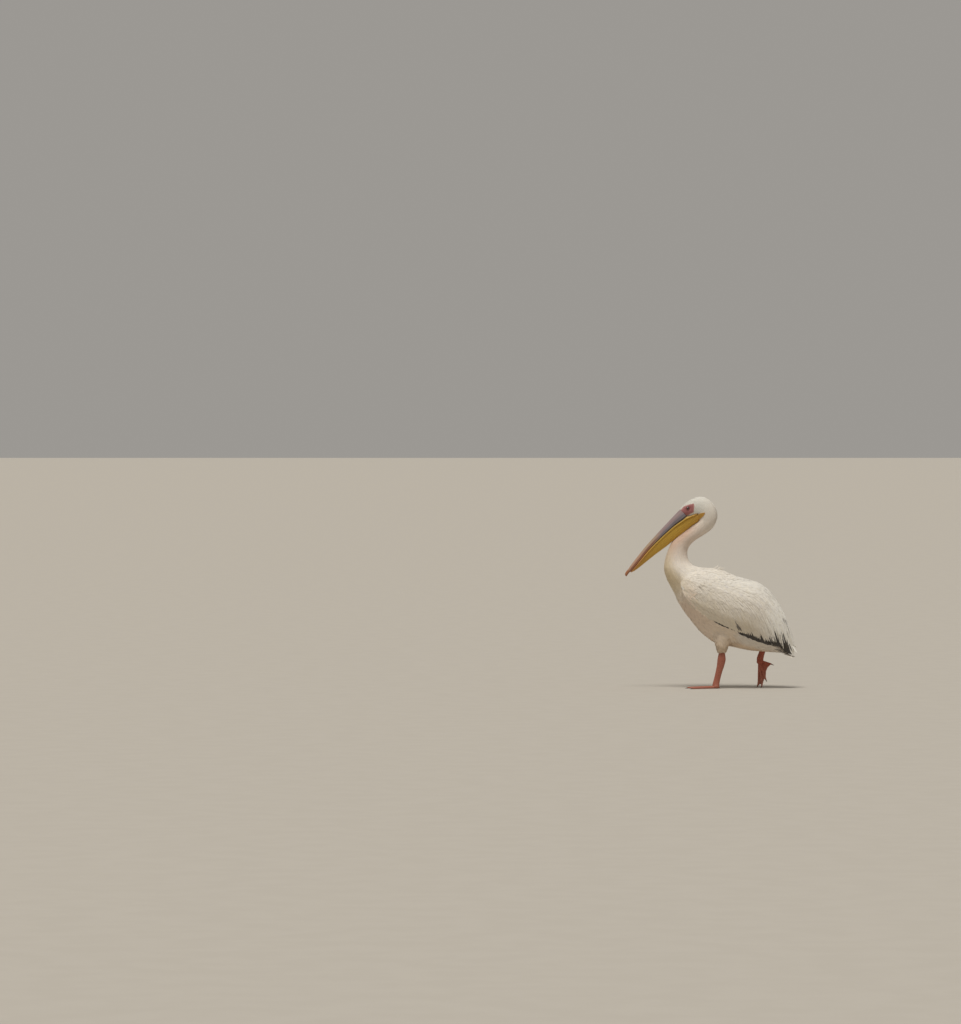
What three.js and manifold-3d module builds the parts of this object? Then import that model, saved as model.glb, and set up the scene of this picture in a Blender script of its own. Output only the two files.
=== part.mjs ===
// Great white pelican, life size, in mid stride: a still museum model built as a group of named solids.
// Millimetres, +Z up. The bird faces -X, its left side is -Y, and it stands on the plane z = 0.
import * as THREE from "three";
import { mergeVertices } from "three/addons/utils/BufferGeometryUtils.js";
import Module from "manifold-3d";

const wasm = await Module();
wasm.setup();

// ---- Driving dimensions -------------------------------------------------------------------------
const GAP = 0.3; // clearance between neighbouring solids
const SLIVER = 0.05; // edges shorter than this collapse after a cut
const BODY_PITCH = THREE.MathUtils.degToRad(25); // the trunk's axis falls this much towards the tail
const WALK_TRACK = 56; // each leg's distance from the midline
const EYE_RADIUS = 9;
const EYE_AT = { x: -111, y: 26.5, z: 889 }; // y is how far each eye's centre is from the midline
const KNUCKLE_RADIUS = 15;
const CLAW_LENGTH = 13;
const WEB_THICKNESS = 2.4;
const WEB_RISE = 1.2; // the web's height over the sole
const WING_INNER_EDGE = 1; // half the slit where the two wings meet over the rump
const LEG_SIDES = 10;
const BODY_SIDES = 20;

// ---- Colours ------------------------------------------------------------------------------------
const finish = (color, roughness) => new THREE.MeshStandardMaterial({ color, roughness, metalness: 0 });
const PLUMAGE = finish(0xe9e2d2, 0.85);
const BREAST = finish(0xe6c9ae, 0.85);
const FLIGHT = finish(0x2c2826, 0.7);
const UPPER_HORN = finish(0x8f8a92, 0.45);
const LOWER_HORN = finish(0xc98a3c, 0.5);
const POUCH_SKIN = finish(0xd9a521, 0.6);
const NAIL_HORN = finish(0xc4552f, 0.4);
const LEG_SKIN = finish(0xc4604c, 0.6);
const CLAW_HORN = finish(0x4a3a34, 0.4);
const EYE_GLOSS = finish(0x3a0f0c, 0.08);

// ---- Solids from three.js geometry --------------------------------------------------------------
/** A closed indexed shell as a manifold solid, turned outside out if its faces point inwards. */
function solidOf(points, triangles) {
  const vertProperties = new Float32Array(points.flatMap((p) => [p.x, p.y, p.z]));
  const shell = (order) =>
    new wasm.Manifold(new wasm.Mesh({ numProp: 3, vertProperties, triVerts: new Uint32Array(order) }));
  const solid = shell(triangles.flat());
  return solid.volume() > 0 ? solid : shell(triangles.flatMap(([a, b, c]) => [a, c, b]));
}

/** A three.js geometry as a manifold solid. */
function solidFrom(geometry) {
  const bare = geometry.clone().deleteAttribute("normal").deleteAttribute("uv");
  const merged = mergeVertices(bare, 1e-4);
  const at = merged.attributes.position;
  const points = Array.from({ length: at.count }, (_, i) => new THREE.Vector3().fromBufferAttribute(at, i));
  const triangles = [];
  for (let i = 0; i < merged.index.count; i += 3) {
    triangles.push([0, 1, 2].map((k) => merged.index.getX(i + k)));
  }
  return solidOf(points, triangles);
}

/** A manifold solid as a named mesh. */
function node(name, solid, material) {
  const { vertProperties, triVerts } = solid.getMesh();
  const geometry = new THREE.BufferGeometry();
  geometry.setAttribute("position", new THREE.BufferAttribute(new Float32Array(vertProperties), 3));
  geometry.setIndex(new THREE.BufferAttribute(new Uint32Array(triVerts), 1));
  geometry.computeVertexNormals();
  const mesh = new THREE.Mesh(geometry, material);
  mesh.name = name;
  return mesh;
}

/** Closes a stack of rings, each with the same number of points, with a fan over each end. */
function skinRings(rings) {
  const sides = rings[0].length;
  const points = rings.flat();
  const triangles = [];
  for (let i = 0; i + 1 < rings.length; i++) {
    for (let j = 0; j < sides; j++) {
      const a = i * sides + j;
      const b = i * sides + ((j + 1) % sides);
      triangles.push([a, b, b + sides], [a, b + sides, a + sides]);
    }
  }
  for (const [ring, first, flip] of [
    [rings[0], 0, true],
    [rings.at(-1), (rings.length - 1) * sides, false],
  ]) {
    const centre = ring.reduce((sum, p) => sum.add(p), new THREE.Vector3()).divideScalar(sides);
    const hub = points.push(centre) - 1;
    for (let j = 0; j < sides; j++) {
      const a = first + j;
      const b = first + ((j + 1) % sides);
      triangles.push(flip ? [hub, b, a] : [hub, a, b]);
    }
  }
  return solidOf(points, triangles);
}

const signedPower = (value, power) => Math.sign(value) * Math.abs(value) ** power;

/**
 * A form lofted between two rails in the bird's profile. A station is {top, bottom, half, y}: the two rail
 * points as [x, z], the half width, and the sideways place of the middle.
 * round shapes the section (1 an ellipse, less is squarer), keel narrows it towards the bottom rail, lift
 * moves its widest place towards the top rail, and grow fattens the form all round.
 */
function railLoft(stations, { rings, sides, round = 1, keel = 0, lift = 0, grow = 0, from = 0, to = 1 }) {
  const curve = (pick) => new THREE.CatmullRomCurve3(stations.map(pick), false, "catmullrom", 0.5);
  const top = curve((s) => new THREE.Vector3(s.top[0], 0, s.top[1]));
  const bottom = curve((s) => new THREE.Vector3(s.bottom[0], 0, s.bottom[1]));
  const width = curve((s) => new THREE.Vector3(s.half, s.y ?? 0, 0));
  const middleAt = (t) => top.getPoint(t).add(bottom.getPoint(t)).multiplyScalar(0.5);
  const made = [];
  for (let i = 0; i <= rings; i++) {
    const t = from + ((to - from) * i) / rings;
    const rise = top.getPoint(t).sub(bottom.getPoint(t)).multiplyScalar(0.5);
    rise.setLength(rise.length() + grow);
    const { x: half, y: offset } = width.getPoint(t);
    const middle = middleAt(t);
    if (grow && (i === 0 || i === rings)) {
      const step = (to - from) / rings / 4;
      const back = i === 0 ? t + step : t - step;
      middle.add(middle.clone().sub(middleAt(back)).setLength(grow));
    }
    made.push(
      Array.from({ length: sides }, (_, j) => {
        const angle = (2 * Math.PI * j) / sides;
        const up = signedPower(Math.sin(angle), round);
        const across = signedPower(Math.cos(angle), round) * (1 - (keel * (1 - up)) / 2);
        const point = middle.clone().addScaledVector(rise, up + lift * (1 - up * up));
        point.y = offset + across * (half + grow);
        return point;
      }),
    );
  }
  return skinRings(made);
}

const station = (top, bottom, half, y = 0) => ({ top, bottom, half, y });

/** A straight prism over a closed outline of [u, v] pairs, as an ExtrudeGeometry along its local z. */
function prism(outline, depth) {
  const edge = new THREE.SplineCurve(outline.map(([u, v]) => new THREE.Vector2(u, v)));
  return new THREE.ExtrudeGeometry(new THREE.Shape(edge.getPoints(36)), { depth, bevelEnabled: false });
}

// ---- The trunk's own frame ----------------------------------------------------------------------
// along runs from breast to tail and height square to it, both in the profile plane.
const toWorld = (along, height) => [
  along * Math.cos(BODY_PITCH) + height * Math.sin(BODY_PITCH),
  -along * Math.sin(BODY_PITCH) + height * Math.cos(BODY_PITCH),
];
const bodyStation = (along, low, high, half) => station(toWorld(along, high), toWorld(along, low), half);

// ---- Head, neck and trunk as one form -----------------------------------------------------------
const HEAD = [
  station([-151, 884], [-124, 848], 25),
  station([-131, 907], [-100, 845], 30),
  station([-105, 927], [-84, 843], 34.5),
  station([-73, 942], [-72, 840], 38),
  station([-40, 946], [-63, 836], 40.5),
  station([-5, 932], [-57, 831], 42),
  station([23, 902], [-57, 826], 42.5),
  station([35, 862], [-62, 820], 41.5),
];
const NECK = [
  station([31, 822], [-75, 812], 40),
  station([7, 783], [-98, 795], 38),
  station([-36, 753], [-125, 774], 37),
  station([-78, 726], [-158, 748], 37),
  station([-105, 696], [-190, 719], 39),
  station([-112, 664], [-212, 674], 44),
  station([-103, 629], [-226, 626], 54),
  station([-72, 602], [-229, 584], 70),
];
const TRUNK = [
  station([-20, 595], [-212, 530], 82),
  station([12, 593], [-181, 474], 90),
  station([36, 590], [-150, 408], 97),
  bodyStation(-196, 246, 554, 103),
  bodyStation(-141, 224, 556, 109),
  bodyStation(-65, 211, 555, 112),
  bodyStation(-5, 227, 534, 107),
  bodyStation(55, 240, 500, 97),
  bodyStation(109, 254, 462, 84),
  bodyStation(169, 277, 420, 66),
  bodyStation(226, 299, 380, 44),
  bodyStation(252, 308, 350, 24),
];
const BODY = [...HEAD, ...NECK, ...TRUNK];
const bodyShare = (index) => index / (BODY.length - 1);
const HEAD_END = bodyShare(HEAD.length - 0.5);
const NECK_MIDDLE = bodyShare(HEAD.length + 3.5);
const NECK_END = bodyShare(HEAD.length + NECK.length - 0.6);
const CUT = bodyShare(0.008); // a slice of the loft about as thick as GAP

const bodyLength = (from, to, rings, extra = {}) =>
  railLoft(BODY, { from, to, rings, sides: BODY_SIDES, round: 0.95, ...extra });

const head = bodyLength(0, HEAD_END - CUT, 12);
const neckUpper = bodyLength(HEAD_END, NECK_MIDDLE - CUT, 7);
const neckLower = bodyLength(NECK_MIDDLE, NECK_END - CUT, 7);
const trunk = bodyLength(NECK_END, 1, 20);
const trunkRoom = bodyLength(NECK_END, 1, 20, { grow: 2 * GAP });

// ---- Bill and pouch -----------------------------------------------------------------------------
const BILL_BASE = station([-147, 883], [-116, 846], 26);
const UPPER_BILL = [
  BILL_BASE,
  station([-178, 850], [-152, 822], 25.5),
  station([-206, 820], [-184, 798], 24),
  station([-257, 766], [-239, 748], 21.5),
  station([-314, 703], [-299, 688], 20),
  station([-362, 643], [-347, 631], 21),
  station([-392, 604], [-379, 594], 19.5),
  station([-406, 584], [-394, 574], 14),
];
const BILL_NAIL = [
  station([-403.5, 589], [-391.5, 578.5], 13.2),
  station([-413, 578], [-402, 567], 11),
  station([-420, 567], [-410, 556], 7.5),
  station([-420, 557], [-413, 551], 3),
];
const LOWER_BILL = [
  station([-60, 866], [-57, 857.5], 38.5),
  station([-116, 844], [-111, 835.8], 33),
  station([-152, 820.5], [-146, 812.4], 28.5),
  station([-186, 796], [-179.5, 788.4], 25),
  station([-241, 746], [-234, 739], 21.5),
  station([-301, 686], [-294.2, 679.4], 19.5),
  station([-349, 629], [-342.5, 623.5], 19.5),
  station([-380, 592], [-374.6, 587.5], 16.5),
  station([-393, 575], [-388.5, 571.5], 10),
];
const POUCH = [
  station([-24, 869], [-34, 851], 38),
  station([-60, 862], [-70, 818], 37),
  station([-113, 840], [-126, 770], 31),
  station([-149, 816.5], [-176, 734], 26),
  station([-183, 792], [-219, 699], 22.5),
  station([-237.5, 742.5], [-267, 664], 19),
  station([-297.6, 682.7], [-318, 623], 16.5),
  station([-346, 626], [-362, 588], 13),
  station([-377, 589.5], [-386, 573], 7),
];

const upperBillForm = (grow) =>
  railLoft(UPPER_BILL, { rings: 14, sides: 12, round: 0.8, lift: -0.15, grow });
const nailForm = railLoft(BILL_NAIL, { rings: 5, sides: 8 });
const nailRoom = railLoft(BILL_NAIL, { rings: 5, sides: 8, grow: GAP });
const lowerBillForm = (grow) => railLoft(LOWER_BILL, { rings: 14, sides: 8, round: 0.75, grow });
const pouchForm = (grow) =>
  railLoft(POUCH, { rings: 14, sides: 12, round: 0.9, keel: 0.45, lift: 0.3, grow });

const upperBill = upperBillForm(0).subtract(nailRoom);
const lowerBill = lowerBillForm(0).subtract(upperBillForm(GAP)).subtract(nailRoom);
const pouch = pouchForm(0).subtract(lowerBillForm(GAP)).subtract(upperBillForm(GAP));
const billRoom = upperBillForm(GAP).add(lowerBillForm(GAP)).add(pouchForm(GAP));

// ---- Eyes ---------------------------------------------------------------------------------------
function eyeBall(side, grow) {
  const ball = new THREE.SphereGeometry(EYE_RADIUS + grow, 12, 8);
  return solidFrom(ball.translate(EYE_AT.x, side * EYE_AT.y, EYE_AT.z));
}

// ---- Tail ---------------------------------------------------------------------------------------
const TAIL = [
  bodyStation(150, 298, 322, 30),
  bodyStation(205, 303, 325, 46),
  bodyStation(255, 308, 325, 59),
  bodyStation(292, 310, 322, 63),
  bodyStation(312, 310, 319, 54),
  bodyStation(322, 310, 316, 30),
];
const tailForm = (grow) => railLoft(TAIL, { rings: 9, sides: 12, round: 0.7, lift: 0.2, grow });
const tail = tailForm(0).subtract(trunkRoom);

// ---- Folded wings -------------------------------------------------------------------------------
const WING_FORM = [
  bodyStation(-374, 330, 470, 74),
  bodyStation(-345, 290, 500, 101),
  bodyStation(-300, 262, 522, 118),
  bodyStation(-244, 250, 541, 131),
  bodyStation(-141, 240, 558, 143),
  bodyStation(-65, 238, 568, 146),
  bodyStation(-5, 242, 576, 143),
  bodyStation(55, 248, 564, 133),
  bodyStation(109, 256, 537, 118),
  bodyStation(169, 268, 494, 97),
  bodyStation(226, 282, 440, 72),
  bodyStation(273, 295, 388, 48),
  bodyStation(306, 305, 345, 27),
];
// The wing as seen from the side, in the trunk's frame: a long leaf from the wrist to the tip.
const WING_SIDE = [
  [-372, 455],
  [-352, 396],
  [-315, 362],
  [-225, 313],
  [-129, 296],
  [-46, 298],
  [96, 302],
  [200, 314],
  [318, 319],
  [345, 420],
  [220, 600],
  [-100, 640],
  [-330, 560],
  [-372, 455],
];
// The edge of the mantle from above: half width against the distance along the body.
const WING_PLAN = [
  [-390, 88],
  [-300, 80],
  [-200, 60],
  [-110, 36],
  [-20, 10],
  [50, WING_INNER_EDGE],
  [200, WING_INNER_EDGE],
  [340, WING_INNER_EDGE],
];
const PRIMARY_CUT = { from: [95, 300], to: [318, 372] }; // the primaries show below this line

/** A prism through the bird from side to side, over an outline in the trunk's frame. */
function sidePrism(outline) {
  const turned = new THREE.Matrix4().makeBasis(
    new THREE.Vector3(Math.cos(BODY_PITCH), 0, -Math.sin(BODY_PITCH)),
    new THREE.Vector3(Math.sin(BODY_PITCH), 0, Math.cos(BODY_PITCH)),
    new THREE.Vector3(0, -1, 0),
  );
  return solidFrom(prism(outline, 400).translate(0, 0, -200).applyMatrix4(turned));
}

/** A prism square to the trunk's axis, over an outline of [along, sideways], on one side of the bird. */
function planPrism(edge, side) {
  const outline = [...edge, [340, 260], [-390, 260]].map(([u, v]) => new THREE.Vector2(u, v));
  const turned = new THREE.Matrix4().makeBasis(
    new THREE.Vector3(Math.cos(BODY_PITCH), 0, -Math.sin(BODY_PITCH)),
    new THREE.Vector3(0, side, 0),
    new THREE.Vector3(Math.sin(BODY_PITCH), 0, Math.cos(BODY_PITCH)).multiplyScalar(side),
  );
  const geometry = new THREE.ExtrudeGeometry(new THREE.Shape(outline), { depth: 1600, bevelEnabled: false });
  return solidFrom(geometry.translate(0, 0, -800).applyMatrix4(turned));
}

/** A folded wing with the body still inside it, fattened by grow. */
function wingForm(side, grow = 0) {
  return railLoft(WING_FORM, { rings: 18, sides: BODY_SIDES, round: 0.92, lift: 0.08, grow })
    .intersect(sidePrism(WING_SIDE.map(([along, height]) => [along, height - grow])))
    .intersect(planPrism(WING_PLAN, side));
}

/** The folded wing on one side, parted into the arm with its coverts and the primaries below it. */
function foldedWing(side) {
  const whole = wingForm(side).subtract(trunkRoom).subtract(tailForm(GAP));
  const [x0, z0] = toWorld(...PRIMARY_CUT.from);
  const [x1, z1] = toWorld(...PRIMARY_CUT.to);
  const normal = new THREE.Vector3(z0 - z1, 0, x1 - x0).normalize();
  const reach = normal.x * x0 + normal.z * z0;
  const arm = whole.trimByPlane([normal.x, 0, normal.z], reach + GAP / 2);
  const primaries = whole.trimByPlane([-normal.x, 0, -normal.z], -(reach - GAP / 2));
  return { arm: biggest(arm), primaries: biggest(primaries) };
}

/** The largest separate body of a solid, without the slivers and crumbs that cuts leave. */
function biggest(solid) {
  const bodies = solid.simplify(SLIVER).decompose();
  return bodies.reduce((best, body) => (body.volume() > best.volume() ? body : best));
}

// ---- Legs ---------------------------------------------------------------------------------------
// The left leg bears the weight. The right one trails and pushes off from its toe tips.
const LEFT_Y = -WALK_TRACK;
const RIGHT_Y = WALK_TRACK;
const LEFT_JOINT = { x: 28, z: 13 };
const RIGHT_JOINT = { x: 250, z: 136 };

const THIGH_LEFT = [
  station([6, 272], [124, 262], 46, LEFT_Y + 6),
  station([16, 232], [98, 226], 38, LEFT_Y + 2),
  station([30, 200], [81, 198], 27, LEFT_Y),
  station([37, 176], [73, 176], 18, LEFT_Y),
];
const SHANK_LEFT = [
  station([40, 175.7], [71, 175.7], 13.5, LEFT_Y),
  station([36, 158], [74, 157], 14.5, LEFT_Y),
  station([33, 143], [75, 140], 15, LEFT_Y),
  station([31, 118], [68, 112], 11.5, LEFT_Y),
  station([25, 86], [57, 80], 9.5, LEFT_Y),
  station([17, 50], [48, 46], 9, LEFT_Y),
  station([10, 26], [44, 22], 11, LEFT_Y),
  station([9, 13], [44, 9], 12.5, LEFT_Y),
];
const THIGH_RIGHT = [
  station([232, 286], [322, 262], 34, RIGHT_Y - 2),
  station([238, 246], [306, 230], 27, RIGHT_Y),
  station([247, 214], [290, 207], 20, RIGHT_Y),
  station([252, 197], [282, 192], 15, RIGHT_Y),
];
const SHANK_RIGHT = [
  station([253, 196.6], [281, 191.6], 12, RIGHT_Y),
  station([247, 181], [276, 176], 10.5, RIGHT_Y),
  station([238, 160], [270, 154], 10, RIGHT_Y),
  station([233, 142], [267, 136], 11.5, RIGHT_Y),
  station([235, 128], [267, 122], 12.5, RIGHT_Y),
];

const limb = (stations, rings, grow = 0) => railLoft(stations, { rings, sides: LEG_SIDES, grow });
const thighForm = (stations) => railLoft(stations, { rings: 5, sides: 12 });

// ---- Feet ---------------------------------------------------------------------------------------
// Each toe leaves the joint at an angle from straight ahead, positive towards the bird's midline.
// closed is that angle in the trailing foot, whose toes draw together.
const TOES = {
  outer: { angle: -27, closed: -4, length: 134, base: 7, tip: 4.2 },
  middle: { angle: 3, closed: 8, length: 140, base: 7.5, tip: 4.4 },
  inner: { angle: 33, closed: 22, length: 103, base: 7, tip: 4 },
  hind: { angle: 108, closed: 108, length: 54, base: 6.5, tip: 3.8 },
};
const PUSH_BEND = 18; // radius of the bend where the trailing toes lay their tips on the floor
const PUSH_YAW = THREE.MathUtils.degToRad(46); // the trailing foot turns its toes inwards
const FLAT = 0.6; // how much of each pad is pressed flat

/** The standing foot: a flat fan, with across running towards the midline. */
function flatFoot(joint, y) {
  const inward = -Math.sign(y);
  return (ahead, across, up) => new THREE.Vector3(joint.x - ahead, y + inward * across, up);
}

/** The trailing foot: the same fan hung from the joint, and bent forwards where it meets the floor. */
function pushingFoot(joint, y) {
  const inward = -Math.sign(y);
  const drop = joint.z - PUSH_BEND;
  return (ahead, across, up) => {
    const turn = THREE.MathUtils.clamp((ahead - drop) / PUSH_BEND, 0, Math.PI / 2);
    const past = Math.max(0, ahead - drop - (PUSH_BEND * Math.PI) / 2);
    const forward = PUSH_BEND * (1 - Math.cos(turn)) + past + up * Math.cos(turn) - 2;
    return new THREE.Vector3(
      joint.x - forward * Math.cos(PUSH_YAW) + across * Math.sin(PUSH_YAW),
      y + inward * (forward * Math.sin(PUSH_YAW) + across * Math.cos(PUSH_YAW)),
      joint.z - Math.min(ahead, drop) - PUSH_BEND * Math.sin(turn) + up * Math.sin(turn),
    );
  };
}

/** A toe's line in its foot: a share of its length and a height over the sole give a place. */
function toeLine(length, degrees, place) {
  const angle = THREE.MathUtils.degToRad(degrees);
  return (share, up) => place(length * share * Math.cos(angle), length * share * Math.sin(angle), up);
}

/** The trailing foot's hind toe, which hangs back and a little inwards from the joint. */
function hangingHindToe(joint, y) {
  const root = new THREE.Vector3(joint.x + 6, y, joint.z - 12);
  const reach = new THREE.Vector3(50, -Math.sign(y) * 14, -11);
  return (share, up) => root.clone().addScaledVector(reach, share).setZ(root.z + reach.z * share + up);
}

/** A tapering round toe or claw along line(share, up), from share a to share b. */
function taper(line, a, b, radiusA, radiusB, { rings = 5, sides = 6, droop = 0 } = {}) {
  const made = [];
  for (let i = 0; i <= rings; i++) {
    const u = i / rings;
    const share = a + (b - a) * u;
    const radius = radiusA + (radiusB - radiusA) * u;
    const rise = radius - FLAT - droop * u * u;
    const centre = line(share, rise);
    const ahead = line(share + 0.01, rise).sub(line(share - 0.01, rise)).normalize();
    const up = line(share, rise + 1).sub(centre).normalize();
    const across = new THREE.Vector3().crossVectors(ahead, up).normalize();
    made.push(
      Array.from({ length: sides }, (_, j) => {
        const angle = (2 * Math.PI * (j + 0.5)) / sides;
        return centre
          .clone()
          .addScaledVector(across, radius * Math.cos(angle))
          .addScaledVector(up, radius * Math.sin(angle));
      }),
    );
  }
  return skinRings(made);
}

/** A web stretched between two toes, its free edge scooped in by scoop of the toes' length. */
function web(lineA, lineB, scoop) {
  const across = 3;
  const along = 4;
  const [root, rim] = [0.06, 0.97];
  const layer = (up) => {
    const grid = [];
    for (let i = 0; i <= across; i++) {
      const u = i / across;
      const end = rim - scoop * 4 * u * (1 - u);
      for (let j = 0; j <= along; j++) {
        const share = THREE.MathUtils.lerp(root, end, j / along);
        grid.push(lineA(share, up).lerp(lineB(share, up), u));
      }
    }
    return grid;
  };
  const row = along + 1;
  const count = (across + 1) * row;
  const points = [...layer(WEB_RISE), ...layer(WEB_RISE + WEB_THICKNESS)];
  const triangles = [];
  const quad = (a, b, c, d) => triangles.push([a, b, c], [a, c, d]);
  for (let i = 0; i < across; i++) {
    for (let j = 0; j < along; j++) {
      const a = i * row + j;
      quad(a, a + 1, a + row + 1, a + row);
      quad(a + count, a + row + count, a + row + 1 + count, a + 1 + count);
    }
  }
  const wall = (a, b) => quad(b, a, a + count, b + count);
  for (let j = 0; j < along; j++) {
    wall(j, j + 1);
    wall(across * row + j + 1, across * row + j);
  }
  for (let i = 0; i < across; i++) {
    wall((i + 1) * row, i * row);
    wall(i * row + along, (i + 1) * row + along);
  }
  return solidOf(points, triangles);
}

/** One foot and its claws: toes joined by webs round a knuckle, with a claw a gap beyond each toe. */
function footWithClaws(side, lines, knuckle, shankRoom) {
  const order = ["outer", "middle", "inner", "hind"];
  const ball = new THREE.SphereGeometry(KNUCKLE_RADIUS, 10, 6).scale(1.1, 0.95, 0.85);
  let foot = solidFrom(ball.translate(...knuckle));
  for (const name of order) {
    foot = foot.add(taper(lines[name], 0, 1, TOES[name].base, TOES[name].tip));
  }
  foot = foot.add(web(lines.outer, lines.middle, 0.1));
  foot = foot.add(web(lines.middle, lines.inner, 0.13));
  foot = foot.add(web(lines.inner, lines.hind, 0.22));
  foot = foot.subtract(shankRoom).trimByPlane([0, 0, 1], 0);
  const nodes = [node(`foot_${side}`, biggest(foot), LEG_SKIN)];
  for (const name of order) {
    const { length, tip } = TOES[name];
    const start = 1 + GAP / length;
    const end = start + CLAW_LENGTH / length;
    const claw = taper(lines[name], start, end, tip * 0.8, 0.9, { rings: 3, sides: 6, droop: 0.2 });
    nodes.push(node(`claw_${side}_${name}`, claw.trimByPlane([0, 0, 1], 0), CLAW_HORN));
  }
  return nodes;
}

/** The lines of all four toes, spread or closed. */
function toeLines(place, pose) {
  const line = ([name, toe]) => [name, toeLine(toe.length, toe[pose], place)];
  return Object.fromEntries(Object.entries(TOES).map(line));
}

// ---- The bird -----------------------------------------------------------------------------------
const bird = new THREE.Group();

function addHeadAndNeck() {
  const sockets = eyeBall(-1, GAP).add(eyeBall(1, GAP));
  bird.add(node("head", biggest(head.subtract(billRoom).subtract(sockets)), PLUMAGE));
  bird.add(node("neck_upper", biggest(neckUpper.subtract(billRoom)), PLUMAGE));
  bird.add(node("neck_lower", biggest(neckLower.subtract(billRoom)), PLUMAGE));
  bird.add(node("eye_left", eyeBall(-1, 0), EYE_GLOSS));
  bird.add(node("eye_right", eyeBall(1, 0), EYE_GLOSS));
}

function addBill() {
  bird.add(node("bill_upper", biggest(upperBill), UPPER_HORN));
  bird.add(node("bill_nail", nailForm, NAIL_HORN));
  bird.add(node("bill_lower", biggest(lowerBill), LOWER_HORN));
  bird.add(node("pouch", biggest(pouch), POUCH_SKIN));
}

function addTrunkAndWings() {
  bird.add(node("trunk", trunk, BREAST));
  bird.add(node("tail", biggest(tail), PLUMAGE));
  for (const [name, side] of [
    ["left", -1],
    ["right", 1],
  ]) {
    const { arm, primaries } = foldedWing(side);
    bird.add(node(`wing_${name}`, arm, PLUMAGE));
    bird.add(node(`primaries_${name}`, primaries, FLIGHT));
  }
}

function addLeg(side, { thigh, shank, lines, knuckle, shankRings }) {
  const thighSolid = thighForm(thigh).subtract(trunkRoom).subtract(wingForm(thigh[0].y < 0 ? -1 : 1, GAP));
  bird.add(node(`thigh_${side}`, biggest(thighSolid), BREAST));
  const shankSolid = limb(shank, shankRings).subtract(trunkRoom);
  bird.add(node(`shank_${side}`, biggest(shankSolid), LEG_SKIN));
  bird.add(...footWithClaws(side, lines, knuckle, limb(shank, shankRings, GAP)));
}

addHeadAndNeck();
addBill();
addTrunkAndWings();
addLeg("left", {
  thigh: THIGH_LEFT,
  shank: SHANK_LEFT,
  shankRings: 11,
  lines: toeLines(flatFoot(LEFT_JOINT, LEFT_Y), "angle"),
  knuckle: [LEFT_JOINT.x - 2, LEFT_Y, LEFT_JOINT.z - 2],
});
addLeg("right", {
  thigh: THIGH_RIGHT,
  shank: SHANK_RIGHT,
  shankRings: 6,
  lines: {
    ...toeLines(pushingFoot(RIGHT_JOINT, RIGHT_Y), "closed"),
    hind: hangingHindToe(RIGHT_JOINT, RIGHT_Y),
  },
  knuckle: [RIGHT_JOINT.x - 1, RIGHT_Y, RIGHT_JOINT.z - 9],
});

// The origin goes under the middle of the whole bird, at the floor.
const box = new THREE.Box3().setFromObject(bird);
bird.position.set(-(box.min.x + box.max.x) / 2, -(box.min.y + box.max.y) / 2, -box.min.z);

export default bird;
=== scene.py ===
"""A great white pelican at life size: one skin with its plumage, and the bill, eyes, legs and feet.

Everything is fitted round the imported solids, in metres. The bird faces -X, its left side is -Y, and it
stands on z = 0. Sizes below are millimetres in the bird's own frame unless a name says otherwise.
"""

from __future__ import annotations

import logging
import math
from contextlib import contextmanager
from dataclasses import dataclass
from enum import Enum
from typing import Callable, Iterator, Sequence

import bmesh
import bpy
import numpy as np
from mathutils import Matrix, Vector
from mathutils.bvhtree import BVHTree
from mathutils.kdtree import KDTree


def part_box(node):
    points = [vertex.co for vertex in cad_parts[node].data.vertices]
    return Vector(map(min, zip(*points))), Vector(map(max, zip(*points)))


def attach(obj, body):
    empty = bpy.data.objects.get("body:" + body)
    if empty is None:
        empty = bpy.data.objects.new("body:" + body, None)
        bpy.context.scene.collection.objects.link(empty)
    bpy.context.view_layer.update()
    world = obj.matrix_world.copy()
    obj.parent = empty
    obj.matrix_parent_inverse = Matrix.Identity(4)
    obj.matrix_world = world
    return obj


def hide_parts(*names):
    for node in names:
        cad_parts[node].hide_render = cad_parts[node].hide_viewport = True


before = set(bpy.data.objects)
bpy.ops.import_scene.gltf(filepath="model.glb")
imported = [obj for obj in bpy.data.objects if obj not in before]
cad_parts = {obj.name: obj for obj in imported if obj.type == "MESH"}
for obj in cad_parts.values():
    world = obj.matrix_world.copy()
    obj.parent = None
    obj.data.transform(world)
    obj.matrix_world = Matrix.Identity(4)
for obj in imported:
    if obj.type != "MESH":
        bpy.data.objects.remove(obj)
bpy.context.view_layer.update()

LOG = logging.getLogger("pelican")
MM = 0.001
SEED = 20
FAR_OUT = 400.0  # further to the side than any part of the bird
Array = np.ndarray
Colour = tuple[float, float, float]

# ---- Places in the profile plane, as (x, z) ----
EYE = (-111.0, 889.0)
EYE_RADIUS = 9.0
BODY_LINE = (
    (-150, 858), (-115, 876), (-94, 885), (-72, 891), (-51, 891), (-31, 881), (-17, 864), (-14, 841),
    (-22, 817), (-46, 789), (-81, 763), (-118, 737), (-147, 707), (-162, 669), (-164, 628), (-150, 593),
    (-116, 562), (-84, 533), (-57, 499), (-9, 445), (37, 413), (103, 375), (156, 347), (250, 278),
    (348, 212), (420, 165),
)
BILL_LINE = (
    (-128, 866), (-165, 836), (-195, 809), (-248, 757), (-306, 696), (-354, 637), (-386, 599),
    (-401, 579), (-416, 556),
)
GAPE_LINE = (
    (-24, 867), (-62, 850), (-118, 812), (-168, 772), (-205, 742), (-254, 702), (-308, 652),
    (-354, 607), (-385, 580),
)
BARE_FACE = (
    (-154, 864), (-147, 880), (-132, 898), (-110, 907), (-82, 913), (-80, 898), (-83, 868), (-118, 850),
)
WING_LOWER = (
    (-149, 500), (-140, 470), (-109, 426), (-51, 368), (-15, 339), (35, 315), (86, 290),
    (130, 265), (180, 244), (224, 227), (289, 206), (340, 188), (391, 163),
)
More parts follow.
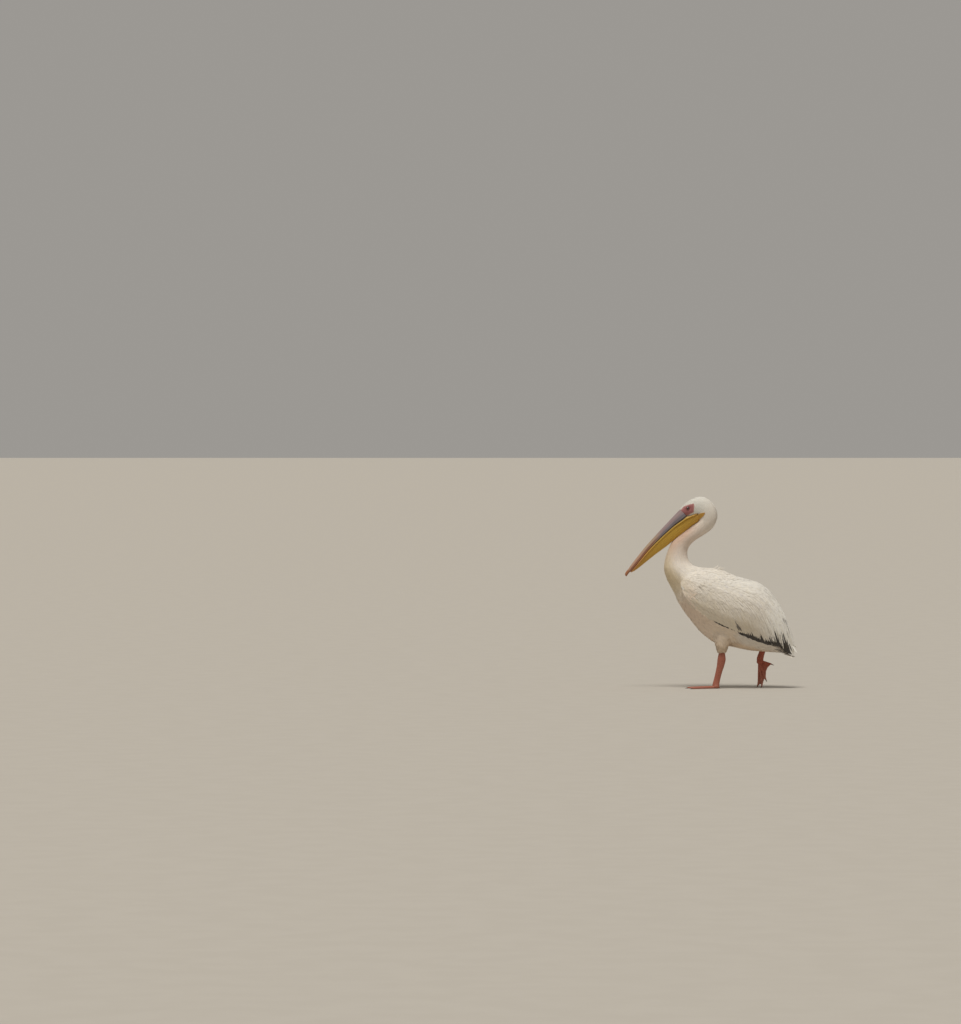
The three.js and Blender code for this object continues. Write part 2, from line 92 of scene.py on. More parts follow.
WING_UPPER = (
    (-149, 500), (-138, 564), (-100, 585), (0, 588), (110, 558), (180, 540), (240, 520), (290, 484),
    (325, 438), (362, 375), (391, 303), (412, 238), (416, 180), (391, 163),
)
WING_OUTLINE = WING_UPPER + WING_LOWER[-2:0:-1]
GAPE_OUTLINE = (
    (-25, 869), (-36, 852), (-55, 831), (-80, 807), (-110, 784), (-155, 750), (-250, 690), (-250, 770),
    (-168, 778), (-118, 818), (-99, 856), (-77, 864), (-50, 869),
)
MANTLE_EDGE = ((-130, 88), (-40, 80), (51, 60), (133, 36), (214, 10), (278, 1))  # (x, half width)
WING_CEILING = 620.0  # above both wings' tops
WING_STEEPNESS = ((-150, -50), (-60, -52), (40, -60), (160, -66), (300, -69), (420, -71))  # (x, degrees)


def frame_shift() -> float:
    """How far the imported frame's origin stands from the bird's own, along X, in metres."""
    low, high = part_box("eye_left")
    return (low.x + high.x) / 2 - EYE[0] * MM


SHIFT = frame_shift()


def to_frame(x: Array, y: Array, z: Array) -> Array:
    """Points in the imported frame, in metres, from the bird's own millimetres."""
    places = np.broadcast_arrays(np.asarray(x) * MM + SHIFT, np.asarray(y) * MM, np.asarray(z) * MM)
    return np.stack(places, -1)


def to_bird(points: Array) -> Array:
    """The bird's own millimetres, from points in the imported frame."""
    return (points - np.array([SHIFT, 0.0, 0.0])) / MM


# ---- Numbers on arrays ----
def unit(vectors: Array) -> Array:
    """The vectors at length 1."""
    return vectors / np.maximum(np.linalg.norm(vectors, axis=-1, keepdims=True), 1e-12)


def ramp(low: float, high: float, value: Array) -> Array:
    """0 below low, 1 above high and a smooth rise between them; low may be the larger."""
    t = np.clip((np.asarray(value, float) - low) / (high - low), 0.0, 1.0)
    return t * t * (3.0 - 2.0 * t)


def bump(centre: float, width: float, value: Array) -> Array:
    """A smooth hill of height 1 round centre."""
    return np.exp(-(((np.asarray(value, float) - centre) / width) ** 2))


def table(x: Array, rows: Sequence[tuple[float, float]]) -> Array:
    """Values read from rows of (x, value), with straight lines between them."""
    return np.interp(x, *np.array(rows, float).T)


def flatten(vectors: Array, normals: Array) -> Array:
    """The vectors laid into the planes square to the normals, at length 1."""
    return unit(vectors - normals * np.sum(vectors * normals, axis=-1, keepdims=True))


def tint(base: Array, colour: Colour, amount: Array) -> Array:
    """The base colours mixed towards one colour by an amount from 0 to 1."""
    share = np.clip(amount, 0.0, 1.0)[:, None]
    return base * (1.0 - share) + np.array(colour) * share


def layered(count: int, base: Colour, *layers: tuple[Colour, Array]) -> Array:
    """One colour for each of count points: the base, with each layer's colour laid over by its amount."""
    colours = np.tile(np.array(base), (count, 1))
    for colour, amount in layers:
        colours = tint(colours, colour, amount)
    return colours


def vary(colours: Array, amount: float, rng: np.random.Generator) -> Array:
    """The colours, each a little lighter or darker and warmer or cooler."""
    light = 1 + rng.normal(0, amount, (len(colours), 1))
    warm = rng.normal(0, amount * 0.5, (len(colours), 1)) * np.array([[0.3, 0.0, -1.0]])
    return np.clip(colours * (light + warm), 0.0, 0.95)


class ProfileLine:
    """A smooth line in the profile plane, with places along it, across it and round it."""

    STEPS = 24
    CHUNK = 4000

    def __init__(self, points: Sequence[tuple[float, float]]) -> None:
        """Draws a Catmull-Rom curve through the points and measures it.

        Args:
            points: The line's knots as (x, z).
        """
        knots = np.array(points, float)
        ends = np.vstack([2 * knots[0] - knots[1], knots, 2 * knots[-1] - knots[-2]])
        t = np.linspace(0.0, 1.0, self.STEPS, endpoint=False)[:, None]
        runs = []
        for a, b, c, d in zip(ends[:-3], ends[1:-2], ends[2:-1], ends[3:]):
            squared = (2 * a - 5 * b + 4 * c - d) * t**2
            cubed = (3 * b - a - 3 * c + d) * t**3
            runs.append(0.5 * (2 * b + (c - a) * t + squared + cubed))
        self.points = np.vstack([*runs, knots[-1:]])
        steps = np.linalg.norm(np.diff(self.points, axis=0), axis=1)
        self.along = np.concatenate([[0.0], np.cumsum(steps)])
        self.length = float(self.along[-1])
        self.tangents = unit(np.gradient(self.points, axis=0))

    def locate(self, bird_points: Array) -> tuple[Array, Array, Array]:
        """Where points lie against the line.

        Args:
            bird_points: Points in the bird's own millimetres.

        Returns:
            The distance along the line, the height above it in the profile plane, and its tangents there.
        """
        flat = bird_points[:, [0, 2]]
        nearest = []
        for chunk in np.array_split(flat, max(1, len(flat) // self.CHUNK)):
            nearest.append(np.argmin(((chunk[:, None, :] - self.points[None]) ** 2).sum(-1), axis=1))
        nearest = np.concatenate(nearest)
        tangents = self.tangents[nearest]
        offset = flat - self.points[nearest]
        above = offset[:, 1] * tangents[:, 0] - offset[:, 0] * tangents[:, 1]
        return self.along[nearest], above, tangents


# ---- Meshes ----
def new_object(name: str, points: Array, quads: Array, triangles: Array) -> bpy.types.Object:
    """A linked object from arrays of points in metres and of face corners.

    Args:
        name: The object's name.
        points: Its vertices in metres.
        quads: Its four-sided faces by vertex number.
        triangles: Its three-sided faces.

    Returns:
        The object.
    """
    mesh = bpy.data.meshes.new(name)
    mesh.vertices.add(len(points))
    mesh.vertices.foreach_set("co", np.ascontiguousarray(points, np.float32).ravel())
    corners = np.concatenate([quads.ravel(), triangles.ravel()]).astype(np.int32)
    starts = np.concatenate([np.arange(len(quads)) * 4, quads.size + np.arange(len(triangles)) * 3])
    mesh.loops.add(len(corners))
    mesh.loops.foreach_set("vertex_index", corners)
    mesh.polygons.add(len(starts))
    mesh.polygons.foreach_set("loop_start", starts.astype(np.int32))
    mesh.update(calc_edges=True)
    mesh.validate()
    return linked(name, mesh)


def linked(name: str, mesh: bpy.types.Mesh) -> bpy.types.Object:
    """A linked object with the mesh, shaded smooth."""
    mesh.polygons.foreach_set("use_smooth", np.ones(len(mesh.polygons), bool))
    made = bpy.data.objects.new(name, mesh)
    bpy.context.scene.collection.objects.link(made)
    return made


def numbers(items: object, field: str, kind: type, across: int = 3) -> Array:
    """One field of all of a mesh's items as an array, with so many numbers across."""
    flat = np.empty(len(items) * across, kind)
    items.foreach_get(field, flat)
    return flat.reshape(-1, across) if across > 1 else flat


def coordinates(mesh: bpy.types.Mesh) -> Array:
    """The mesh's vertices."""
    return numbers(mesh.vertices, "co", np.float32).astype(float)


def normals_of(mesh: bpy.types.Mesh) -> Array:
    """The mesh's vertex normals."""
    return numbers(mesh.vertex_normals, "vector", np.float32).astype(float)


def triangles_of(mesh: bpy.types.Mesh) -> Array:
    """The mesh's triangles by vertex number."""
    mesh.calc_loop_triangles()
    return numbers(mesh.loop_triangles, "vertices", np.int32)


def set_points(mesh: bpy.types.Mesh, points: Array) -> None:
    """Moves the mesh's vertices."""
    mesh.vertices.foreach_set("co", np.ascontiguousarray(points, np.float32).ravel())
    mesh.update()


def paint(mesh: bpy.types.Mesh, colours: Array) -> None:
    """Stores one linear colour for each vertex as the mesh's tint."""
    layer = mesh.color_attributes.new("tint", "FLOAT_COLOR", "POINT")
    rgba = np.ones((len(mesh.vertices), 4), np.float32)
    rgba[:, :3] = np.clip(colours, 0.0, 1.0)
    layer.data.foreach_set("color", rgba.ravel())


def tree_of(mesh: bpy.types.Mesh) -> BVHTree:
    """A tree for finding places on the mesh."""
    return BVHTree.FromPolygons(coordinates(mesh).tolist(), triangles_of(mesh).tolist())


def point_tree(points: Array) -> KDTree:
    """A tree for finding the nearest of some points.

    Args:
        points: The points, which keep their numbers in it.

    Returns:
        The tree, balanced.
    """
    tree = KDTree(len(points))
    for i, point in enumerate(points.tolist()):
        tree.insert(point, i)
    tree.balance()
    return tree


@contextmanager
def editing(mesh: bpy.types.Mesh) -> Iterator[bmesh.types.BMesh]:
    """An editable copy of the mesh, which is written back when the block ends.

    Args:
        mesh: The mesh, which is changed.

    Returns:
        The copy, for as long as the block runs.
    """
    work = bmesh.new()
    work.from_mesh(mesh)
    yield work
    work.to_mesh(mesh)
    work.free()


def smooth(work: bmesh.types.BMesh, near: list, factor: float, times: int = 1) -> None:
    """Smooths the vertices that are near, as many times as is said."""
    for _ in range(times):
        bmesh.ops.smooth_vert(
            work, verts=near, factor=factor, use_axis_x=True, use_axis_y=True, use_axis_z=True
        )


def largest_body(mesh: bpy.types.Mesh) -> None:
    """Deletes everything but the mesh's largest connected body.

    Args:
        mesh: The mesh, which is changed.
    """
    with editing(mesh) as work:
        left = set(work.verts)
        best: list = []
        while left:
            seed = left.pop()
            body, edge = [seed], [seed]
            while edge:
                vertex = edge.pop()
                for link in vertex.link_edges:
                    other = link.other_vert(vertex)
                    if other in left:
                        left.discard(other)
                        body.append(other)
                        edge.append(other)
            if len(body) > len(best):
                best = body
        keep = set(best)
        bmesh.ops.delete(work, geom=[v for v in work.verts if v not in keep], context="VERTS")


def fused(
    name: str, nodes: Sequence[str], voxel: float, smoothing: int, swell: float = 0.3,
    filler: tuple[Array, Array] | None = None,
) -> bpy.types.Object:
    """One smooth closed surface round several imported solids.

    Args:
        name: The new object's name.
        nodes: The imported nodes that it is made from.
        voxel: The size of its faces in millimetres.
        smoothing: How many times it is smoothed.
        swell: How far each solid is fattened first, so that the slits between them close, in millimetres.
        filler: One more closed solid to fuse in, as its points and triangles.

    Returns:
        The new object, whose mesh is closed and has its own data.
    """
    points, triangles, count = [], [], 0
    for node in nodes:
        work = bmesh.new()
        work.from_mesh(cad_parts[node].data)
        bmesh.ops.remove_doubles(work, verts=work.verts, dist=1e-6)
        work.normal_update()
        bmesh.ops.triangulate(work, faces=work.faces)
        work.verts.index_update()
        points.append(np.array([v.co + v.normal * swell * MM for v in work.verts]))
        triangles.append(np.array([[v.index for v in f.verts] for f in work.faces]) + count)
        count += len(work.verts)
        work.free()
    if filler is not None:
        points.append(filler[0])
        triangles.append(filler[1] + count)
    made = new_object(name, np.vstack(points), np.empty((0, 4), int), np.vstack(triangles))
    fuse = made.modifiers.new("fuse", "REMESH")
    fuse.mode, fuse.voxel_size, fuse.use_smooth_shade = "VOXEL", voxel * MM, True
    relax = made.modifiers.new("relax", "SMOOTH")
    relax.factor, relax.iterations = 0.5, smoothing
    bake_modifiers(made)
    largest_body(made.data)
    return made


def bake_modifiers(made: bpy.types.Object) -> None:
    """Replaces the object's mesh by what its modifiers give, and clears them.

    Args:
        made: The object, whose old mesh is removed.
    """
    result = made.evaluated_get(bpy.context.evaluated_depsgraph_get())
    mesh = bpy.data.meshes.new_from_object(result)
    old = made.data
    made.modifiers.clear()
    made.data = mesh
    bpy.data.meshes.remove(old)
    mesh.name = made.name


def finish_piece(
    piece: bpy.types.Object, material: bpy.types.Material, nodes: Sequence[str] = ()
) -> None:
    """Gives a piece its material, slot and body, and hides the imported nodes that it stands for.

    Args:
        piece: The piece.
        material: Its only material.
        nodes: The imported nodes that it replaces.
    """
    piece.data.materials.clear()
    piece.data.materials.append(material)
    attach(piece, "root")
    if nodes:
        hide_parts(*nodes)
    LOG.info("%s: %d faces", piece.name, len(piece.data.polygons))


# ---- Shader maths ----
class Value:
    """A shader socket that adds Math nodes when it stands in a Python expression."""

    def __init__(self, graph: "Graph", socket: bpy.types.NodeSocket) -> None:
        """Wraps one output socket of the graph."""
        self.graph = graph
        self.socket = socket

    def _math(self, operation: str, *values: "Value | float") -> "Value":
        """A Math node's result."""
        node = self.graph.node("ShaderNodeMath", {"operation": operation}, dict(enumerate(values)))
        return Value(self.graph, node.outputs[0])

    def __add__(self, other: "Value | float") -> "Value":
        """self + other."""
        return self._math("ADD", self, other)

    __radd__ = __add__

    def __sub__(self, other: "Value | float") -> "Value":
        """self - other."""
        return self._math("SUBTRACT", self, other)

    def __rsub__(self, other: float) -> "Value":
        """other - self."""
        return self._math("SUBTRACT", other, self)

    def __mul__(self, other: "Value | float") -> "Value":
        """self * other."""
        return self._math("MULTIPLY", self, other)

    __rmul__ = __mul__

    def __abs__(self) -> "Value":
        """The size of self without its sign."""
        return self._math("ABSOLUTE", self)

    def sine(self) -> "Value":
        """The sine of self in radians."""
        return self._math("SINE", self)

    def between(self, low: float, high: float) -> "Value":
        """0 at low, 1 at high, clamped."""
        inputs = {"Value": self, "From Min": low, "From Max": high}
        node = self.graph.node("ShaderNodeMapRange", {"interpolation_type": "SMOOTHSTEP"}, inputs)
        return Value(self.graph, node.outputs[0])


class Graph:
    """One material and its node tree."""

    def __init__(self, name: str, roughness: float, constants: dict[str, float]) -> None:
        """Starts a material whose shader has its roughness and other constants set on its own sockets.

        Args:
            name: The material's name.
            roughness: The roughness where nothing feeds it.
            constants: Other constants by the shader's socket names.
        """
        self.material = bpy.data.materials.new(name)
        self.material.use_nodes = True
        self.tree = self.material.node_tree
        self.shader = self.tree.nodes["Principled BSDF"]
        for socket, value in {"Roughness": roughness, **constants}.items():
            self.shader.inputs[socket].default_value = value

    def node(self, kind: str, settings: dict, inputs: dict) -> bpy.types.Node:
        """A node of any kind.

        Args:
            kind: The node's type.
            settings: Its own settings, which are set first.
            inputs: A value or a link for each input, by name or number.

        Returns:
            The node.
        """
        made = self.tree.nodes.new(kind)
        for key, value in settings.items():
            setattr(made, key, value)
        for key, value in inputs.items():
            source = value.socket if isinstance(value, Value) else value
            if isinstance(source, bpy.types.NodeSocket):
                self.tree.links.new(source, made.inputs[key])
            else:
                made.inputs[key].default_value = source
        return made

    def vector(self, operation: str, *inputs: object) -> bpy.types.Node:
        """A Vector Math node."""
        return self.node("ShaderNodeVectorMath", {"operation": operation}, dict(enumerate(inputs)))

    def tint(self) -> bpy.types.NodeSocket:
        """The painted colour."""
        return self.node("ShaderNodeAttribute", {"attribute_name": "tint"}, {}).outputs["Color"]

    def place(self, scale: tuple[float, ...] = (1, 1, 1), turn: float = 0.0) -> bpy.types.NodeSocket:
        """The piece's own coordinates in metres, turned about Y and then scaled."""
        where = self.node("ShaderNodeTexCoord", {}, {}).outputs["Object"]
        turned = self.node("ShaderNodeMapping", {}, {"Vector": where, "Rotation": (0.0, turn, 0.0)})
        return self.vector("MULTIPLY", turned.outputs["Vector"], scale).outputs[0]

    def noise(self, vector: bpy.types.NodeSocket, scale: float, detail: float) -> Value:
        """Noise from 0 to 1 over a vector."""
        made = self.node("ShaderNodeTexNoise", {}, {"Vector": vector, "Scale": scale, "Detail": detail})
        return Value(self, made.outputs[0])

    def cells(self, vector: bpy.types.NodeSocket, scale: float) -> Value:
        """The distance to the edge between cells of a given scale."""
        settings = {"feature": "DISTANCE_TO_EDGE"}
        made = self.node("ShaderNodeTexVoronoi", settings, {"Vector": vector, "Scale": scale})
        return Value(self, made.outputs[0])

    def mixed(
        self, share: "Value | float", first: object, second: object, blend: str = "MIX"
    ) -> bpy.types.NodeSocket:
        """A colour between two, which may be links or plain colours."""
        colours = [c if isinstance(c, bpy.types.NodeSocket) else (*c, 1.0) for c in (first, second)]
        settings = {"data_type": "RGBA", "blend_type": blend}
        return self.node("ShaderNodeMix", settings, {0: share, 6: colours[0], 7: colours[1]}).outputs[2]

    def relief(self, height: Value, strength: float, distance: float) -> None:
        """Feeds a height in the given distance, in metres, to the shader's normal."""
        inputs = {"Height": height, "Strength": strength, "Distance": distance}
        normal = self.node("ShaderNodeBump", {}, inputs).outputs[0]
        self.tree.links.new(normal, self.shader.inputs["Normal"])

    def colour(self, socket: bpy.types.NodeSocket) -> None:
        """Feeds the base colour."""
        self.tree.links.new(socket, self.shader.inputs["Base Color"])

    def roughness(self, value: Value) -> None:
        """Feeds the roughness."""
        self.tree.links.new(value.socket, self.shader.inputs["Roughness"])


@dataclass(frozen=True)
class PlumageFinish:
    """Soft feathers that take their colour from the painted markings."""

    name: str
    roughness: float = 0.72
    barbs: float = 60.0
    barb_relief: float = 0.25
    slant: float = 0.55
    shaft_width: float = 0.07
    mottle: float = 0.12
    soil: Colour = (0.62, 0.56, 0.46)

    def material(self) -> bpy.types.Material:
        """Barbs slant off each shaft, and the colour varies a little from place to place.

        Returns:
            The material.
        """
        graph = Graph(self.name, self.roughness, {"Specular IOR Level": 0.25, "Sheen Weight": 0.12})
        vane = graph.node("ShaderNodeUVMap", {"uv_map": "Vane"}, {}).outputs[0]
        split = graph.node("ShaderNodeSeparateXYZ", {}, {0: vane})
        side = abs(Value(graph, split.outputs[0]) - 0.5)
        barb = ((Value(graph, split.outputs[1]) - side * self.slant) * self.barbs).sine()
        shaft = 1.0 - side.between(0.0, self.shaft_width)
        patch = graph.noise(graph.place(), 34.0, 4.0)
        graph.colour(graph.mixed(patch * self.mottle, graph.tint(), self.soil, "MULTIPLY"))
        graph.relief(barb * 0.5 + shaft, self.barb_relief, 0.0006)
        graph.roughness(patch * 0.12 + (self.roughness - 0.06))
        return graph.material


@dataclass(frozen=True)
class SkinFinish:
    """Bare or downy skin that takes its colour from the painted markings."""

    name: str
    roughness: float = 0.6
    grain: float = 900.0
    depth: float = 0.0005
    hollow: Colour = (0.72, 0.62, 0.6)
    flush: Colour = (0.75, 0.62, 0.6)

    def material(self) -> bpy.types.Material:
        """Fine papillae, with the hollows between them darker.

        Returns:
            The material.
        """
        graph = Graph(self.name, self.roughness, {"Specular IOR Level": 0.35})
        cell = graph.cells(graph.place(), self.grain)
        blotch = graph.noise(graph.place(), 120.0, 5.0)
        dark = graph.mixed(1.0 - cell.between(0.0, 0.25), (1, 1, 1), self.hollow)
        colour = graph.mixed(1.0, graph.tint(), dark, "MULTIPLY")
        graph.colour(graph.mixed(blotch.between(0.45, 0.75) * 0.35, colour, self.flush, "MULTIPLY"))
        graph.relief(cell.between(0.0, 0.35) + blotch * 0.6, 0.55, self.depth)
        graph.roughness(blotch * 0.2 + (self.roughness - 0.1))
        return graph.material


@dataclass(frozen=True)
class HornFinish:
    """Keratin that takes its colour from the paint, with growth lines along the bill."""

    name: str
    roughness: float = 0.38
    turn: float = math.radians(47)
    stretch: float = 14.0
    fineness: float = 260.0
    depth: float = 0.0004
    growth: Colour = (0.7, 0.58, 0.55)
    worn: Colour = (0.7, 0.58, 0.5)

    def material(self) -> bpy.types.Material:
        """Long fine streaks of colour and relief run with the horn, over small scuffs.

        Returns:
            The material.
        """
        graph = Graph(self.name, self.roughness, {"Specular IOR Level": 0.45})
        lengthwise = graph.place((self.stretch, self.fineness, self.fineness), self.turn)
        streak = graph.noise(lengthwise, 1.0, 6.0)
        scuff = graph.noise(graph.place(), 300.0, 4.0)
        colour = graph.mixed(streak.between(0.4, 0.7) * 0.5, graph.tint(), self.growth, "MULTIPLY")
        graph.colour(graph.mixed(scuff.between(0.6, 0.8) * 0.12, colour, self.worn))
        graph.relief(streak + scuff * 0.3, 0.5, self.depth)
        graph.roughness(streak * 0.25 + (self.roughness - 0.08))
        return graph.material


@dataclass(frozen=True)
class EyeFinish:
    """A dark red-brown iris round a black pupil, under a wet cornea."""

    name: str
    pupil: float = 2.6
    pupil_edge: float = 2.9
    iris: float = 5.0
    iris_edge: float = 6.2
    black: Colour = (0.002, 0.002, 0.002)
    deep: Colour = (0.045, 0.009, 0.006)
    bright: Colour = (0.11, 0.022, 0.010)
    rim: Colour = (0.015, 0.008, 0.007)

    def material(self) -> bpy.types.Material:
        """Rings by the distance from the eye's own axis.

        Returns:
            The material.
        """
        graph = Graph(self.name, 0.06, {"Coat Weight": 1.0, "Coat Roughness": 0.02})
        where = graph.node("ShaderNodeTexCoord", {}, {}).outputs["Object"]
        moved = graph.vector("ADD", where, (-EYE[0] * MM - SHIFT, 0.0, -EYE[1] * MM)).outputs[0]
        level = graph.vector("MULTIPLY", moved, (1, 0, 1)).outputs[0]
        radius = Value(graph, graph.vector("LENGTH", level).outputs["Value"])
        fibre = graph.noise(graph.place((1, 0.2, 1)), 1500.0, 4.0)
        iris = graph.mixed(fibre.between(0.35, 0.7), self.deep, self.bright)
        ring = graph.mixed(radius.between(self.pupil * MM, self.pupil_edge * MM), self.black, iris)
        graph.colour(graph.mixed(radius.between(self.iris * MM, self.iris_edge * MM), ring, self.rim))
        return graph.material


# ---- Where things are ----
def inside_by(points: Array, outline: Sequence[tuple[float, float]]) -> Array:
    """How far profile points lie inside a closed outline, in millimetres; less than 0 is outside.

    Args:
        points: Points in the bird's own millimetres.
        outline: The outline's corners as (x, z).

    Returns:
        One distance for each point.
    """
    flat = points[:, [0, 2]]
    corners = np.array(outline, float)
    nearest = np.full(len(flat), 1e9)
    inside = np.zeros(len(flat), bool)
    for a, b in zip(corners, np.roll(corners, -1, axis=0)):
        run = b - a
        t = np.clip(((flat - a) @ run) / (run @ run), 0.0, 1.0)
        nearest = np.minimum(nearest, np.linalg.norm(flat - a - t[:, None] * run, axis=1))
        crosses = (a[1] > flat[:, 1]) != (b[1] > flat[:, 1])
        rise = np.where(b[1] == a[1], 1e-9, b[1] - a[1])
        inside ^= crosses & (flat[:, 0] < a[0] + (flat[:, 1] - a[1]) * run[0] / rise)
    return np.where(inside, nearest, -nearest)


SPINE = ProfileLine(BODY_LINE)
WING_TOP = ProfileLine(WING_UPPER[:-1])
WING_FOOT = ProfileLine(WING_LOWER)


def near_thigh(points: Array) -> Array:
    """1 on the feathered thighs and 0 away from them.

    Args:
        points: Points in the bird's own millimetres.

    Returns:
        One share for each point.
    """
    x, y, z = points.T
    under_wing = ramp(262, 225, z - 6 * ramp(60, 88, x))
    before_flank = ramp(106, 90, x - 14 * ramp(212, 236, z))
    left = under_wing * before_flank * ramp(-14, -24, y)
    right = ramp(238, 214, z) * bump(267, 26, x) * ramp(36, 44, y)
    return np.clip(left + right, 0, 1)


def down_the_body(points: Array) -> Array:
    """The lie of the coat from the bill to the tail, and down the thighs, as directions in the frame."""
    _, _, tangents = SPINE.locate(points)
    flow = np.stack([tangents[:, 0], np.zeros(len(points)), tangents[:, 1]], -1)
    share = near_thigh(points)[:, None]
    return unit(flow * (1 - share) + np.array([0.1, 0.0, -1.0]) * share)


def along_body(points: Array) -> tuple[Array, Array]:
    """The unwrap of the body: the angle round its line, and the distance down it."""
    along, above, _ = SPINE.locate(points)
    return np.arctan2(points[:, 1], above) / (2 * math.pi) + 0.5, along / SPINE.length


def wing_place(points: Array) -> tuple[Array, Array, Array]:
    """Where points lie on a folded wing.

    Args:
        points: Points in the bird's own millimetres.

    Returns:
        The share of the way from the wing's top edge to its lower edge, and the distances along both edges.
    """
    along_top, below, _ = WING_TOP.locate(points)
    along_foot, above, _ = WING_FOOT.locate(points)
    below, above = np.abs(below), np.abs(above)
    return below / np.maximum(below + above, 1e-6), along_top, along_foot


def down_the_wing(points: Array) -> Array:
    """The lie of the wing's feathers: with the back at its top, and hanging steeper to its lower edge.

    Args:
        points: Points in the bird's own millimetres.

    Returns:
        One direction for each point.
    """
    share, _, _ = wing_place(points)
    _, _, top = WING_TOP.locate(points)
    steep = np.radians(table(points[:, 0], WING_STEEPNESS))
    hang = np.stack([np.cos(steep), np.sin(steep)], -1)
    lie = np.where(top[:, :1] < 0.15, np.array([[0.5, -0.86]]), top)
    weight = ramp(-0.1, 0.75, share)[:, None]
    flat = unit(lie * (1 - weight) + hang * weight)
    return np.stack([flat[:, 0], np.zeros(len(points)), flat[:, 1]], -1)


def over_wing(points: Array) -> tuple[Array, Array]:
    """The unwrap of a wing: the distance along its edges, and the way down to its lower edge."""
    share, along_top, along_foot = wing_place(points)
    return (along_top / WING_TOP.length + along_foot / WING_FOOT.length) / 2, share


def on_wing(points: Array) -> Array:
    """How far points lie inside a wing's field of coverts; less than 0 is off it.

    Args:
        points: Points in the bird's own millimetres.

    Returns:
        The least of the distances from its lower edge, from the back, from its front and from its top.
    """
    x, y, z = points.T
    _, above, _ = WING_FOOT.locate(points)
    beside = np.abs(y) - table(x, MANTLE_EDGE)
    return np.minimum.reduce([above, beside, x - WING_LOWER[0][0], WING_CEILING - z])


@dataclass(frozen=True)
class Coat:
    """How thick and how long the coat is at each distance down the body line, all in millimetres."""

    at: tuple[float, ...] = (0, 85, 150, 235, 330, 450, 560, 700, 1200)
    spacing: tuple[float, ...] = (1.4, 1.5, 1.65, 1.85, 2.1, 2.65, 3.6, 4.3, 4.4)
    length: tuple[float, ...] = (8, 10, 14, 18, 22, 31, 40, 48, 50)
    width: tuple[float, ...] = (2.4, 2.7, 3.2, 3.8, 4.8, 7.5, 10.0, 12.0, 12.0)
    depth: tuple[float, ...] = (1.2, 1.3, 1.6, 2.0, 2.4, 3.0, 3.9, 4.4, 4.4)
    wing_depth: float = 6.0

    def read(self, measure: tuple[float, ...], along: Array) -> Array:
        """One measure's values at distances down the body line."""
        return np.interp(along, self.at, measure)

    def depth_at(self, points: Array) -> Array:
        """The coat's depth at points in the bird's own millimetres.

        Args:
            points: The points.

        Returns:
            One depth for each.
        """
        along, _, _ = SPINE.locate(points)
        over = ramp(-6, 10, inside_by(points, WING_OUTLINE)) * ramp(30, 60, np.abs(points[:, 1]))
        depth = self.read(self.depth, along) * (1 - over) + self.wing_depth * over
        bare = ramp(-3, 1, inside_by(points, BARE_FACE))
        near_leg = near_thigh(points) * ramp(225, 180, points[:, 2])
        return depth * (1 - near_leg) * (1 - bare)


